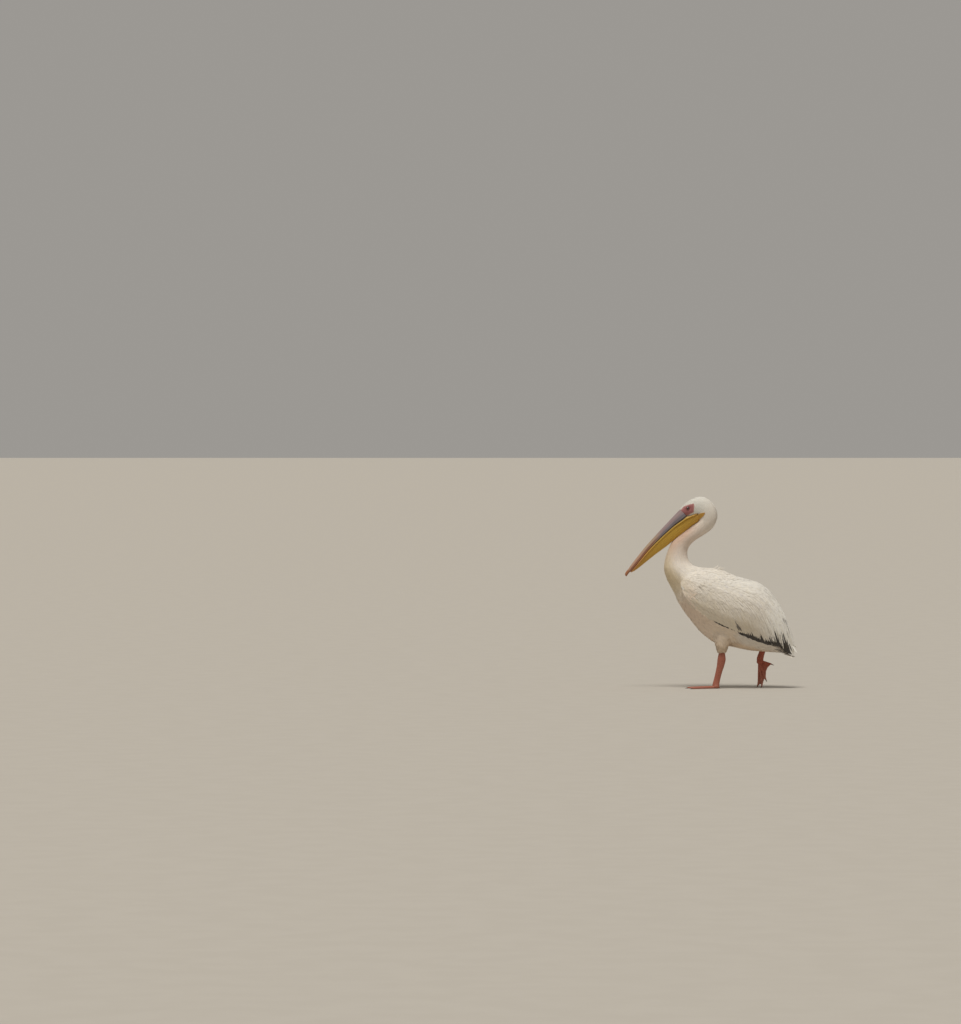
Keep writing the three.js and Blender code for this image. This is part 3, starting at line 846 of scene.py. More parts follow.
@dataclass(frozen=True)
class Markings:
    """The bird's colours by place, which its skin and its coat share, with some painted shade and painted
    light laid in.
    """

    white: Colour = (0.84, 0.785, 0.70)
    crown: Colour = (0.82, 0.80, 0.735)
    # a whiter white for the wing's rear top: painted light
    painted_light_white: Colour = (0.93, 0.90, 0.83)
    blush: Colour = (0.70, 0.51, 0.40)
    straw: Colour = (0.68, 0.56, 0.37)
    buff: Colour = (0.73, 0.57, 0.41)
    # a dark tan for the thighs and the rear belly: partly their own buff, partly painted shade
    tan_and_shade: Colour = (0.60, 0.47, 0.34)
    ash: Colour = (0.70, 0.67, 0.62)
    # a dusty buff for the lower wing: partly soiled feathers, partly painted shade
    dust_and_shade: Colour = (0.68, 0.60, 0.48)
    face: Colour = (0.45, 0.18, 0.18)
    face_rim: Colour = (0.56, 0.29, 0.27)
    eyelid: Colour = (0.30, 0.09, 0.09)
    # painted shade: the skin under the coat takes the feathers' colour darkened by this factor
    shade_under_feathers: float = 0.9

    def plumage(self, points: Array) -> Array:
        """The feathers' colour at points in the bird's own millimetres, darker on the throat, the front,
        the belly and the thighs partly by the bird's own blush and buff and partly by painted shade.

        Args:
            points: The points.

        Returns:
            One linear colour for each.
        """
        x, _, z = points.T
        along, above, _ = SPINE.locate(points)
        _, over_foot, _ = WING_FOOT.locate(points)
        # throat, front, belly, thighs and rear belly: partly the bird's own blush and buff, partly painted
        # shade on the underside
        throat = bump(330, 70, along) * ramp(10, -35, above)
        front = bump(465, 80, along) * ramp(0, -50, above)
        breast = ramp(520, 620, along) * ramp(10, -60, above)
        belly = ramp(300, 210, z) * ramp(20, -40, above)
        rear_belly = ramp(228, 195, z) * ramp(100, 160, x)
        flank = ramp(-38, -14, over_foot) * ramp(60, 120, x)
        return layered(
            len(points), self.white,
            (self.crown, ramp(170, 90, along)),
            (self.blush, 0.85 * throat + 0.55 * bump(310, 120, along)),
            (self.straw, 0.95 * front),
            (self.buff, 0.55 * breast),
            (self.blush, 0.35 * bump(640, 90, along) * ramp(0, -50, above)),
            (self.buff, 0.75 * belly),
            (self.tan_and_shade, 0.55 * near_thigh(points) + 0.5 * rear_belly),
            (self.ash, 0.7 * flank),
        )

    def wing(self, points: Array) -> Array:
        """The white wing feathers' colour, darker low on the wing partly as painted shade and whiter at its
        rear top as painted light.

        Args:
            points: Points in the bird's own millimetres.

        Returns:
            One linear colour for each.
        """
        x = points[:, 0]
        share, _, _ = wing_place(points)
        return layered(
            len(points), self.white,
            (self.crown, 0.6 * ramp(0.35, 0.0, share)),
            # lower wing: dust and painted shade; rear top below: painted light
            (self.dust_and_shade, 0.95 * ramp(0.25, 0.8, share) * ramp(330, 180, x)),
            (self.painted_light_white, 0.9 * ramp(240, 310, x) * ramp(0.95, 0.5, share)),
            (self.ash, 0.3 * ramp(0.55, 0.95, share) * ramp(180, 300, x)),
        )

    def skin(self, points: Array) -> Array:
        """The skin's colour: the bare face, and under the feathers their own colour darkened as painted
        shade.

        Args:
            points: Points in the bird's own millimetres.

        Returns:
            One linear colour for each.
        """
        inside = inside_by(points, BARE_FACE)
        from_eye = np.hypot(points[:, 0] - EYE[0], points[:, 2] - EYE[1])
        bare = layered(
            len(points), self.face,
            (self.face_rim, ramp(9, 1, inside)),
            (self.eyelid, 0.8 * bump(7.0, 1.8, from_eye)),
        )
        share = ramp(-2, 1.5, inside)[:, None]
        return self.plumage(points) * self.shade_under_feathers * (1 - share) + bare * share


# ---- Feathers ----
class Surface:
    """A mesh that feathers are rooted in and laid along."""

    CROWDING = 2.6  # places tried for each that there is room for

    def __init__(self, mesh: bpy.types.Mesh) -> None:
        """Reads the mesh's triangles into a tree."""
        self.points = coordinates(mesh)
        self.triangles = triangles_of(mesh)
        self.tree = tree_of(mesh)

    def nearest(self, points: Array) -> tuple[Array, Array]:
        """The nearest places on the surface, and its normals there."""
        found = [self.tree.find_nearest(p) for p in points.tolist()]
        return np.array([f[0] for f in found]), np.array([f[1] for f in found])

    def from_side(self, x: Array, z: Array, side: int) -> tuple[Array, Array]:
        """Places met by looking at the bird from one side.

        Args:
            x: Distances along the bird in its own millimetres.
            z: Heights.
            side: -1 for the left side, 1 for the right side.

        Returns:
            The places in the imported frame, and which of them were met.
        """
        starts = to_frame(x, np.full(len(x), side * FAR_OUT), z)
        hits = [self.tree.ray_cast(p, (0.0, -side, 0.0))[0] for p in starts.tolist()]
        met = np.array([h is not None for h in hits])
        return np.array([tuple(h) if h is not None else (0.0, 0.0, 0.0) for h in hits]), met

    def scatter(self, spacing: Callable[[Array], Array], rng: np.random.Generator) -> Array:
        """Places all over the surface, none nearer to another than the spacing there.

        Args:
            spacing: Gives the spacing in millimetres at points of the bird, or 0 where there are none.
            rng: The source of chance.

        Returns:
            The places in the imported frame.
        """
        a, b, c = (self.points[self.triangles[:, i]] for i in range(3))
        area = np.linalg.norm(np.cross(b - a, c - a), axis=1) / 2 / MM**2
        gap = spacing(to_bird((a + b + c) / 3))
        expected = np.where(gap > 0, self.CROWDING * area / np.maximum(gap, 0.5) ** 2, 0.0)
        counts = rng.poisson(expected)
        owner = rng.permutation(np.repeat(np.arange(len(counts)), counts))
        u, v = rng.random((2, len(owner), 1))
        u, v = np.where(u + v > 1, 1 - u, u), np.where(u + v > 1, 1 - v, v)
        places = a[owner] + (b - a)[owner] * u + (c - a)[owner] * v
        tree = point_tree(places)
        free = np.ones(len(places), bool)
        chosen = []
        for i, (place, reach) in enumerate(zip(places.tolist(), (gap[owner] * MM).tolist())):
            if free[i]:
                chosen.append(i)
                free[[found[1] for found in tree.find_range(place, reach)]] = False
        return places[chosen]


@dataclass(frozen=True)
class FeatherForm:
    """How one kind of feather is drawn.

    The stations are shares of its length at which a section stands, and the tip is one more point. A
    section is a row of (across, up) places from its left edge to its right edge.
    """

    stations: tuple[float, ...]
    widths: tuple[float, ...]
    crown: float
    section: tuple[tuple[float, float], ...] = ((-1.0, 0.0), (0.0, 1.0), (1.0, 0.0))

    def faces(self) -> tuple[Array, Array]:
        """The quads and triangles of one feather by vertex number.

        Returns:
            One array of each.
        """
        across, rows = len(self.section), len(self.stations)
        quads = []
        for k in range(rows - 1):
            for i in range(across):
                here, after = k * across + i, k * across + (i + 1) % across
                quads.append((here, here + across, after + across, after))
        root = [(0, i, i + 1) for i in range(1, across - 1)]
        last, tip = (rows - 1) * across, rows * across
        end = [(last + i, tip, last + (i + 1) % across) for i in range(across)]
        return np.array(quads).reshape(-1, 4), np.array(root + end)


FINE = ((-1.0, 0.0), (-0.5, 0.62), (0.0, 1.0), (0.5, 0.62), (1.0, 0.0))


class Kind(Enum):
    """The kinds of feather on the bird."""

    DOWN = FeatherForm((0.0, 0.5), (0.75, 1.0), 0.16)
    TUFT = FeatherForm((0.0, 0.35, 0.75), (0.6, 1.0, 0.62), 0.13)
    CONTOUR = FeatherForm((0.0, 0.3, 0.62, 0.88), (0.5, 1.0, 0.95, 0.55), 0.10)
    HACKLE = FeatherForm((0.0, 0.25, 0.55, 0.85), (0.5, 1.0, 0.75, 0.3), 0.2)
    COVERT = FeatherForm(
        (0.0, 0.25, 0.5, 0.75, 0.92, 0.985), (0.5, 0.9, 1.0, 0.93, 0.66, 0.34), 0.07, FINE
    )
    LANCE = FeatherForm(
        (0.0, 0.2, 0.4, 0.6, 0.78, 0.9, 0.97), (0.4, 0.8, 1.0, 0.92, 0.68, 0.4, 0.16), 0.09, FINE
    )
    QUILL = FeatherForm(
        (0.0, 0.15, 0.35, 0.6, 0.8, 0.93, 0.985), (0.3, 0.65, 0.9, 1.0, 0.97, 0.75, 0.38), 0.08, FINE
    )


@dataclass
class Feathers:
    """Feathers of one kind that are laid together, in millimetres.

    A measure may be one number for all of them. The low is how high their roots stand, the high is how high
    their tips do, and keep is how much of its own way each keeps against the lie of the coat.
    """

    kind: Kind
    roots: Array
    directions: Array
    length: Array | float
    width: Array | float
    low: Array | float
    high: Array | float
    colours: Array
    keep: float = 0.6
    bend: Array | float = 0.0

    def __post_init__(self) -> None:
        """Gives each feather its own value of every measure."""
        for name in ("length", "width", "low", "high", "bend"):
            values = np.broadcast_to(np.asarray(getattr(self, name), float), (len(self.roots),))
            setattr(self, name, values)

    def only(self, chosen: Array, kind: Kind | None = None) -> "Feathers":
        """Those of the feathers that are chosen, which may be of another kind."""
        cut = {}
        for name, value in vars(self).items():
            cut[name] = value[chosen] if isinstance(value, np.ndarray) else value
        return Feathers(**{**cut, "kind": kind or self.kind})


class Plumage:
    """One piece of plumage: its feathers are gathered batch by batch and made as one mesh."""

    PATCH = 0.0014  # half a feather's patch on the bake map
    LET_GO = (3.0, 9.0)  # a feather leaves the surface as this gap opens under it
    EDGE_DROP = 0.35  # how far a vane's edges droop
    RIM_ANGLE = math.radians(75)
    TURN = 0.45  # the least cosine between a feather's end and its start
    FLARE = 0.3  # the most that one may point outwards behind RUMP
    RUMP = 340.0
    LEVEL = -0.45  # the flattest fall behind TAIL_ROOT and above TAIL_TOP
    TAIL_ROOT = 395.0
    TAIL_TOP = 195.0
    HEM = 172.0  # the lowest that one may end before HEM_END
    HEM_END = 290.0

    def __init__(
        self, name: str, surface: Surface, flow: Callable[[Array], Array], unwrap: Callable
    ) -> None:
        """Starts an empty piece.

        Args:
            name: The piece's name.
            surface: What its feathers are laid along.
            flow: The lie of the coat at points in the bird's own millimetres.
            unwrap: The place of such points on an unwrap of the surface, as (u, v).
        """
        self.name, self.surface, self.flow, self.unwrap = name, surface, flow, unwrap
        self.points: list[Array] = []
        self.quads: list[Array] = []
        self.triangles: list[Array] = []
        self.tints: list[Array] = []
        self.vanes: list[Array] = []
        self.homes: list[Array] = []
        self.count = 0

    def lay(self, batch: Feathers) -> None:
        """Lays feathers along the surface, each bending with it and with the lie of the coat.

        Args:
            batch: The feathers.
        """
        if not len(batch.roots):
            return
        form: FeatherForm = batch.kind.value
        wide = batch.width[:, None] * MM
        place, normal = self.surface.nearest(batch.roots)
        heading = start = flatten(batch.directions, normal)
        rows, root_shaded_colours, vanes, last = [], [], [], 0.0
        for station, share in zip((*form.stations, 1.0), (*form.widths, 0.0)):
            part, last = station - last, station
            if station > 0:
                moved = place + heading * (part * batch.length[:, None] * MM)
                place, normal, heading = self.advance(batch, moved, normal, heading)
            side = np.cross(normal, heading)
            heading = unit(heading + side * batch.bend[:, None] * part)
            height = (batch.low + (batch.high - batch.low) * station)[:, None] * MM
            centre = place + normal * height
            for across, up in form.section if share else ((0.0, 0.0),):
                crown = (up - self.EDGE_DROP * across**2) * form.crown * share * wide
                rows.append(centre + side * (across * share / 2 * wide) + normal * crown)
                # painted shade: each feather's colour is darkened towards its root, where it lies under the
                # others
                root_shaded_colours.append(batch.colours * (0.92 + 0.08 * min(1.0, station * 1.6)))
                vanes.append(((across + 1) / 2, station))
        kept = self.lies_well(to_bird(place), heading, start)
        rows, root_shaded_colours = np.stack(rows, 1)[kept], np.stack(root_shaded_colours, 1)[kept]
        self.gather(form, rows, root_shaded_colours, np.array(vanes), batch.roots[kept])

    def advance(
        self, batch: Feathers, moved: Array, normal: Array, heading: Array
    ) -> tuple[Array, Array, Array]:
        """Brings places that have moved on back to the surface, where it isn't too far.

        Args:
            batch: The feathers.
            moved: Where they have got to.
            normal: The normals they come from.
            heading: The way they go.

        Returns:
            The new places, normals and headings.
        """
        touch, touch_normal = self.surface.nearest(moved)
        gap = np.linalg.norm(moved - touch, axis=1) / MM
        hold = ramp(self.LET_GO[1], self.LET_GO[0], gap)[:, None]
        place = touch * hold + moved * (1 - hold)
        normal = unit(touch_normal * hold + normal * (1 - hold))
        guide = flatten(self.flow(to_bird(place)), normal)
        return place, normal, flatten(heading * batch.keep + guide * (1 - batch.keep), normal)

    def lies_well(self, ends: Array, heading: Array, start: Array) -> Array:
        """Which feathers end as they should: not turned, flared, level at the tail or below the belly.

        Args:
            ends: The feathers' tips in the bird's own millimetres.
            heading: The way they go there.
            start: The way they went at their roots.

        Returns:
            True for each feather that is kept.
        """
        straight = np.sum(heading * start, axis=1) > self.TURN
        flared = (heading[:, 1] * np.sign(ends[:, 1]) > self.FLARE) & (ends[:, 0] > self.RUMP)
        at_tail = (ends[:, 2] > self.TAIL_TOP) & (ends[:, 0] > self.TAIL_ROOT)
        above_hem = (ends[:, 2] > self.HEM) | (ends[:, 0] > self.HEM_END)
        return straight & ~flared & ~(at_tail & (heading[:, 2] > self.LEVEL)) & above_hem

    def gather(self, form: FeatherForm, points: Array, root_shaded_colours: Array, vane: Array, roots: Array) -> None:
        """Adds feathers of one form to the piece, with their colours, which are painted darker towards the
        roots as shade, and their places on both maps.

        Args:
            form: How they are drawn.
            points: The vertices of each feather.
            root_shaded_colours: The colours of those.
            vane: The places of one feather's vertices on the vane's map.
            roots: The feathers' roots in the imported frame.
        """
        total, size = points.shape[:2]
        offsets = self.count + np.arange(total)[:, None, None] * size
        for faces, kept in zip(form.faces(), (self.quads, self.triangles)):
            kept.append((faces[None] + offsets).reshape(-1, faces.shape[1]))
        self.points.append(points.reshape(-1, 3))
        self.tints.append(root_shaded_colours.reshape(-1, 3))
        self.vanes.append(np.tile(vane, (total, 1)))
        self.homes.append(np.repeat(np.stack(self.unwrap(to_bird(roots)), -1), size, axis=0))
        self.count += total * size

    def build(self, material: bpy.types.Material, slot: str, nodes: Sequence[str] = ()) -> None:
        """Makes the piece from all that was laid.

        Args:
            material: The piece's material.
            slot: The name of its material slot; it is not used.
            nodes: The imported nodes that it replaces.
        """
        faces = np.vstack(self.quads), np.vstack(self.triangles)
        piece = new_object(self.name, np.vstack(self.points), *faces)
        piece.data.set_sharp_from_angle(angle=self.RIM_ANGLE)
        paint(piece.data, np.vstack(self.tints))
        homes, vanes = np.vstack(self.homes), np.vstack(self.vanes)
        low, high = homes.min(0), homes.max(0)
        inset = 0.02 + 0.96 * (homes - low) / np.maximum(high - low, 1e-6)
        corners = numbers(piece.data.loops, "vertex_index", np.int32, 1)
        for name, places in (("OFBake", inset + (vanes - 0.5) * 2 * self.PATCH), ("Vane", vanes)):
            layer = piece.data.uv_layers.new(name=name)
            layer.data.foreach_set("uv", np.ascontiguousarray(places[corners], np.float32).ravel())
        finish_piece(piece, material, nodes)


# ---- The bird's parts ----
@dataclass(frozen=True)
class Filler:
    """A solid that fills the creases between several others: their section at each step, pulled tight."""

    nodes: tuple[str, ...] = ("trunk", "wing_left", "wing_right")
    start: float = -146.0
    end: float = 408.0
    step: float = 4.0
    off_grid: float = 0.013  # keeps the cuts off the solids' own vertices
    sides: int = 72
    inset: float = 1.2

    def directions(self) -> Array:
        """Directions in the section's plane."""
        turn = np.arange(self.sides) * 2 * math.pi / self.sides
        return np.stack([np.cos(turn), np.sin(turn)], -1)

    def reach(self, points: Array, edges: Array, x: float) -> Array:
        """How far the section at x reaches in each direction round the bird's middle.

        Args:
            points: The solids' vertices in the bird's own millimetres.
            edges: Their edges by vertex number.
            x: Where the section is.

        Returns:
            One distance for each direction.
        """
        a, b = points[edges[:, 0]], points[edges[:, 1]]
        cut = (a[:, 0] - x) * (b[:, 0] - x) < 0
        a, b = a[cut], b[cut]
        share = ((x - a[:, 0]) / (b[:, 0] - a[:, 0]))[:, None]
        section = (a + (b - a) * share)[:, 1:]
        section = np.vstack([section, section * np.array([-1.0, 1.0])])
        return (section @ self.directions().T).max(axis=0)

    def solid(self) -> tuple[Array, Array]:
        """The filler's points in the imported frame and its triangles.

        Returns:
            One array of each.
        """
        points, edges, count = [], [], 0
        for node in self.nodes:
            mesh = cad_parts[node].data
            points.append(to_bird(coordinates(mesh)))
            corners = triangles_of(mesh) + count
            edges += [corners[:, [0, 1]], corners[:, [1, 2]], corners[:, [2, 0]]]
            count += len(mesh.vertices)
        points, edges = np.vstack(points), np.vstack(edges)
        steps = np.arange(self.start, self.end + 0.1, self.step) + self.off_grid
        reach = np.array([self.reach(points, edges, x) for x in steps]) - self.inset
        reach[1:-1] = (reach[:-2] + 2 * reach[1:-1] + reach[2:]) / 4
        here, after = self.directions(), np.roll(self.directions(), -1, axis=0)
        turned = here[:, 0] * after[:, 1] - here[:, 1] * after[:, 0]
        following = np.roll(reach, -1, axis=1)
        y = (reach * after[:, 1] - following * here[:, 1]) / turned
        z = (following * here[:, 0] - reach * after[:, 0]) / turned
        rings = to_frame(np.repeat(steps, self.sides), y.ravel(), z.ravel())
        return rings, self.triangles(len(steps))

    def triangles(self, rows: int) -> Array:
        """The triangles between rings, and a fan over each end.

        Args:
            rows: How many rings there are.

        Returns:
            The triangles by vertex number.
        """
        i = np.arange(self.sides)
        j = (i + 1) % self.sides
        made = []
        for row in range(rows - 1):
            low, high = row * self.sides, (row + 1) * self.sides
            made.append(np.stack([low + i, low + j, high + j], -1))
            made.append(np.stack([low + i, high + j, high + i], -1))
        fan = np.stack([np.zeros(self.sides - 2, int), i[2:], i[1:-1]], -1)
        return np.vstack([*made, fan, fan[:, ::-1] + (rows - 1) * self.sides])


@dataclass
class Skin:
    """One skin over head, neck, trunk, arms and thighs, sunk by the depth of the coat."""

    markings: Markings
    coat: Coat
    voxel: float = 3.2
    thinnest: float = 0.3
    bill_margin: float = 14.0
    strokes: int = 30
    creases: tuple[tuple[tuple[float, float, float], float], ...] = (  # middle and reach
        ((60.0, -88.0, 268.0), 42.0), ((267.0, 62.0, 226.0), 30.0),
    )
    fine_reaches: tuple[float, ...] = (48.0, 40.0)
    lid_opening: float = 6.0
    lid_height: float = 1.0
    lid_folds: tuple[tuple[float, ...], ...] = (  # depth, reach, width, waves, their size and their turn
        (0.8, 10.8, 0.8, 0.0, 0.0, 0.0), (0.45, 14.2, 0.8, 5.0, 0.6, 0.0), (0.35, 18.0, 0.9, 4.0, 1.0, 1.0),
    )
    lids_end: tuple[float, float] = (19.0, 26.0)
    flesh: tuple[str, ...] = (
        "head", "neck_upper", "neck_lower", "trunk", "wing_left", "wing_right", "thigh_left", "thigh_right",
    )

    def build(self) -> bpy.types.Object:
        """Fuses the flesh, refines it round the eyes, sinks it under the coat and forms the lids.

        Returns:
            The finished skin.
        """
        nodes = [*self.flesh, "eye_left", "eye_right"]
        piece = fused("skin", nodes, self.voxel, 4, filler=Filler().solid())
        with editing(piece.data) as work:
            self.soften(work)
            self.refine(work)
        self.sink(piece.data)
        self.form_face(piece.data)
        paint(piece.data, self.markings.skin(to_bird(coordinates(piece.data))))
        finish_piece(piece, SkinFinish("bare_skin").material(), self.flesh)
        return piece

    def soften(self, work: bmesh.types.BMesh) -> None:
        """Smooths the creases over the thighs."""
        for centre, reach in self.creases:
            middle = Vector(to_frame(*centre).tolist())
            near = [v for v in work.verts if (v.co - middle).length < reach * MM]
            smooth(work, near, 0.6, self.strokes)

    def refine(self, work: bmesh.types.BMesh) -> None:
        """Makes the faces round both eyes four times finer.

        Args:
            work: The skin as it is edited.
        """
        centre = Vector(to_frame(EYE[0] - 3, 0.0, EYE[1] - 3).tolist())

        def within(reach: float) -> list:
            """The vertices nearer than this to the eyes' middle in the profile plane."""
            return [v for v in work.verts if math.hypot(v.co.x - centre.x, v.co.z - centre.z) < reach * MM]

        for reach in self.fine_reaches:
            near = set(within(reach))
            edges = [e for e in work.edges if e.verts[0] in near and e.verts[1] in near]
            bmesh.ops.subdivide_edges(work, edges=edges, cuts=1, use_grid_fill=True)
            smooth(work, within(reach), 0.5)
        bmesh.ops.triangulate(work, faces=[f for f in work.faces if len(f.verts) > 4])

    def sink(self, mesh: bpy.types.Mesh) -> None:
        """Moves the skin inwards by the coat's depth, less where the flesh is thin or meets the bill.

        Args:
            mesh: The skin's mesh.
        """
        points, normals = coordinates(mesh), normals_of(mesh)
        tree = tree_of(mesh)
        through = np.full(len(points), 1.0)
        for i, (p, n) in enumerate(zip((points - normals * MM).tolist(), (-normals).tolist())):
            distance = tree.ray_cast(p, n, 0.06)[3]
            if distance is not None:
                through[i] = distance
        bill = [tree_of(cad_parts[n].data) for n in ("bill_upper", "bill_lower", "pouch")]
        away = np.array([min(t.find_nearest(p)[3] for t in bill) for p in points.tolist()]) / MM
        depth = self.coat.depth_at(to_bird(points)) * ramp(0, self.bill_margin, away)
        depth = np.minimum(depth, through / MM * self.thinnest)
        set_points(mesh, points - normals * (depth * MM)[:, None])

    def form_face(self, mesh: bpy.types.Mesh) -> None:
        """Opens the lids round each eyeball and folds the bare skin about them.

        Args:
            mesh: The skin's mesh.
        """
        x, y, z = to_bird(coordinates(mesh)).T
        reach = np.hypot(x - EYE[0], (z - EYE[1]) * 1.12)
        angle = np.arctan2(z - EYE[1], x - EYE[0])
        out = np.abs(y)
        ball_middle = abs(float(to_bird(np.array(sum(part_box("eye_left"), Vector())) / 2)[1]))
        ball = ball_middle + np.sqrt(np.maximum(EYE_RADIUS**2 - np.minimum(reach, 8.6) ** 2, 0.0))
        lid = ball + self.lid_height + 0.15 * np.sin(angle * 9)
        start, end = self.lids_end
        formed = lid * ramp(start, 7, reach) + out * ramp(7, start, reach)
        for depth, ring, width, waves, size, turn in self.lid_folds:
            formed -= depth * bump(ring, width, reach + size * np.sin(angle * waves + turn))
        open_eye = ramp(self.lid_opening + 1.3, self.lid_opening - 0.1, reach)
        formed = formed * (1 - open_eye) + (ball - 1.6) * open_eye
        share = ramp(end, start, reach) * (out > 12)
        set_points(mesh, to_frame(x, np.sign(y) * (formed * share + out * (1 - share)), z))


@dataclass
class Eye:
    """An eyeball in its socket."""

    side: str
    bulge: float = 0.7
    bulge_reach: float = 4.6

    def build(self) -> None:
        """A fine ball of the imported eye's size, with a clear bulge at its front."""
        low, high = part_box(f"eye_{self.side}")
        middle = (low + high) / 2
        sign = 1 if middle.y > 0 else -1
        mesh = bpy.data.meshes.new(f"eyeball_{self.side}")
        with editing(mesh) as work:
            bmesh.ops.create_icosphere(work, subdivisions=5, radius=EYE_RADIUS * MM)
            for vertex in work.verts:
                reach = math.hypot(vertex.co.x, vertex.co.z) / MM
                if vertex.co.y * sign > 0:
                    vertex.co.y += sign * self.bulge * MM * max(0.0, 1 - (reach / self.bulge_reach) ** 2)
            bmesh.ops.translate(work, verts=work.verts, vec=middle)
        piece = linked(mesh.name, mesh)
        finish_piece(piece, EyeFinish(f"eye_{self.side}").material(), (f"eye_{self.side}",))


@dataclass
class BodyCoat:
    """Down and contour feathers over the head, neck, breast, belly, back and thighs."""

    surface: Surface
    coat: Coat
    markings: Markings
    material: bpy.types.Material
    steepest: float = 0.6
    hem: float = 177.0
    under_wing: tuple[tuple[float, float], ...] = ((-120, 30), (-80, 22), (60, 22), (260, 4))  # (x, depth)
    parts: tuple[tuple[str, float, float, Kind], ...] = (
        ("down_head", 0, 150, Kind.DOWN), ("down_neck", 150, 300, Kind.TUFT),
        ("neck_feathers", 300, 430, Kind.TUFT), ("ruff_feathers", 430, 560, Kind.CONTOUR),
        ("body_feathers", 560, 2000, Kind.CONTOUR),
    )

    def spacing(self, points: Array) -> Array:
        """The gap between feathers, or 0 on the bare face, at the legs' ends and under the wings.

        Args:
            points: Points in the bird's own millimetres.

        Returns:
            One gap for each point.
        """
        x, y, z = points.T
        along, _, _ = SPINE.locate(points)
        gap = self.coat.read(self.coat.spacing, along) * (1 - 0.35 * near_thigh(points))
        share, _, _ = wing_place(points)
        none = (inside_by(points, BARE_FACE) > 0.5) | (inside_by(points, GAPE_OUTLINE) > 0.5)
        none |= on_wing(points) > table(x, self.under_wing)
        none |= (share > 0.6) & (inside_by(points, WING_OUTLINE) > 7) & (np.abs(y) > 40) & (x > -122)
        none |= ((x > 345) & (z > 228)) | (x > 385) | (z < self.hem)
        return np.where(none, 0.0, gap)

    def rooted(self, rng: np.random.Generator) -> Array:
        """The feathers' roots, without those where the coat would have to grow straight out.

        Args:
            rng: The source of chance.

        Returns:
            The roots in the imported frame.
        """
        roots = self.surface.scatter(self.spacing, rng)
        points = to_bird(roots)
        x, y, z = points.T
        facing = np.sum(self.surface.nearest(roots)[1] * down_the_body(points), axis=1)
        behind_thigh = bump(96, 22, x) * bump(240, 24, z) * (y < 0)
        return roots[facing < self.steepest - 0.08 * near_thigh(points) + 0.35 * behind_thigh]

    def build(self) -> None:
        """Lays every feather and makes one piece for each length of the body."""
        rng = np.random.default_rng(SEED)
        roots = self.rooted(rng)
        points = to_bird(roots)
        along, above, _ = SPINE.locate(points)
        count, thigh = len(roots), near_thigh(points)
        length = self.coat.read(self.coat.length, along) * rng.uniform(0.8, 1.2, count) * (1 - 0.5 * thigh)
        width = self.coat.read(self.coat.width, along) * rng.uniform(0.8, 1.2, count) * (1 - 0.45 * thigh)
        depth = self.coat.depth_at(points) + 2.0 * thigh
        off_face = ramp(0, 10, -inside_by(points, BARE_FACE))
        length *= (0.55 + 0.45 * off_face) * (1 - 0.45 * ramp(330, 380, points[:, 0]))
        length *= 1 + 0.5 * (bump(470, 90, along) * ramp(0, -60, above))  # the ragged front of the breast
        flow = down_the_body(points)
        flow = unit(flow + rng.normal(0, 0.07, flow.shape))
        high = depth * rng.uniform(0.75, 1.05, count) * (0.6 + 0.4 * ramp(420, 620, along)) + 0.3
        feathers = Feathers(
            Kind.DOWN, roots, flow, length, width, low=-0.25 * depth - 0.3, high=high,
            colours=vary(self.markings.plumage(points), 0.035, rng), bend=rng.normal(0, 0.16, count),
        )
        loose = {"down_neck": self.crest(rng), "body_feathers": self.wisps(rng)}
        for name, start, end, kind in self.parts:
            part = Plumage(name, self.surface, down_the_body, along_body)
            part.lay(feathers.only((along >= start) & (along < end), kind))
            if name in loose:
                part.lay(loose[name])
            part.build(self.material, "breast_plumage" if start > 300 else "plumage")

    def crest(self, rng: np.random.Generator, count: int = 70) -> Feathers:
        """A short, loose crest down the back of the head.

        Args:
            rng: The source of chance.
            count: How many feathers there are.

        Returns:
            The feathers.
        """
        t = rng.uniform(0, 1, count)
        x, z = 40 + table(t, ((0, 8), (0.5, 30), (1, 32))), table(t, ((0, 925), (0.5, 895), (1, 850)))
        roots, _ = self.surface.nearest(to_frame(x, rng.normal(0, 7, count), z))
        points = to_bird(roots)
        high = rng.uniform(1.8, 3.2, count)
        colours = vary(self.markings.plumage(points), 0.03, rng)
        return Feathers(
            Kind.HACKLE, roots, down_the_body(points), rng.uniform(20, 32, count),
            rng.uniform(1.6, 2.6, count), -0.5, high, colours, bend=rng.normal(0, 0.2, count),
        )

    def wisps(self, rng: np.random.Generator, count: int = 28) -> Feathers:
        """A few feathers that the wind lifts off the middle of the back.

        Args:
            rng: The source of chance.
            count: How many feathers there are.

        Returns:
            The feathers.
        """
        before = rng.random(count) < 0.3
        x = np.where(before, rng.uniform(16, 28, count), rng.uniform(34, 62, count))
        roots, _ = self.surface.nearest(to_frame(x, rng.normal(0, 16, count), np.full(count, 610.0)))
        lean = unit(np.stack([np.full(count, 0.9), rng.normal(0, 0.35, count), np.full(count, 0.2)], -1))
        length, width = rng.uniform(12, 20, count), rng.uniform(3.0, 5.0, count)
        high = rng.uniform(15, 27, count)
        colours = vary(self.markings.plumage(to_bird(roots)) * 1.08, 0.02, rng)
        return Feathers(
            Kind.HACKLE, roots, lean, length, width, 1.0, high, colours, bend=rng.normal(0, 0.6, count)
        )


@dataclass(frozen=True)
class Marks:
    """Single dark feathers that lie over the coverts, and thin dark lines laid as painted shadows between
    feathers.
    """

    low: float  # height of the roots
    high: float  # height of the tips
    shade: float  # how many times lighter than black
    places: tuple[tuple[float, float, float, float], ...]  # x and z of the tip, length and width


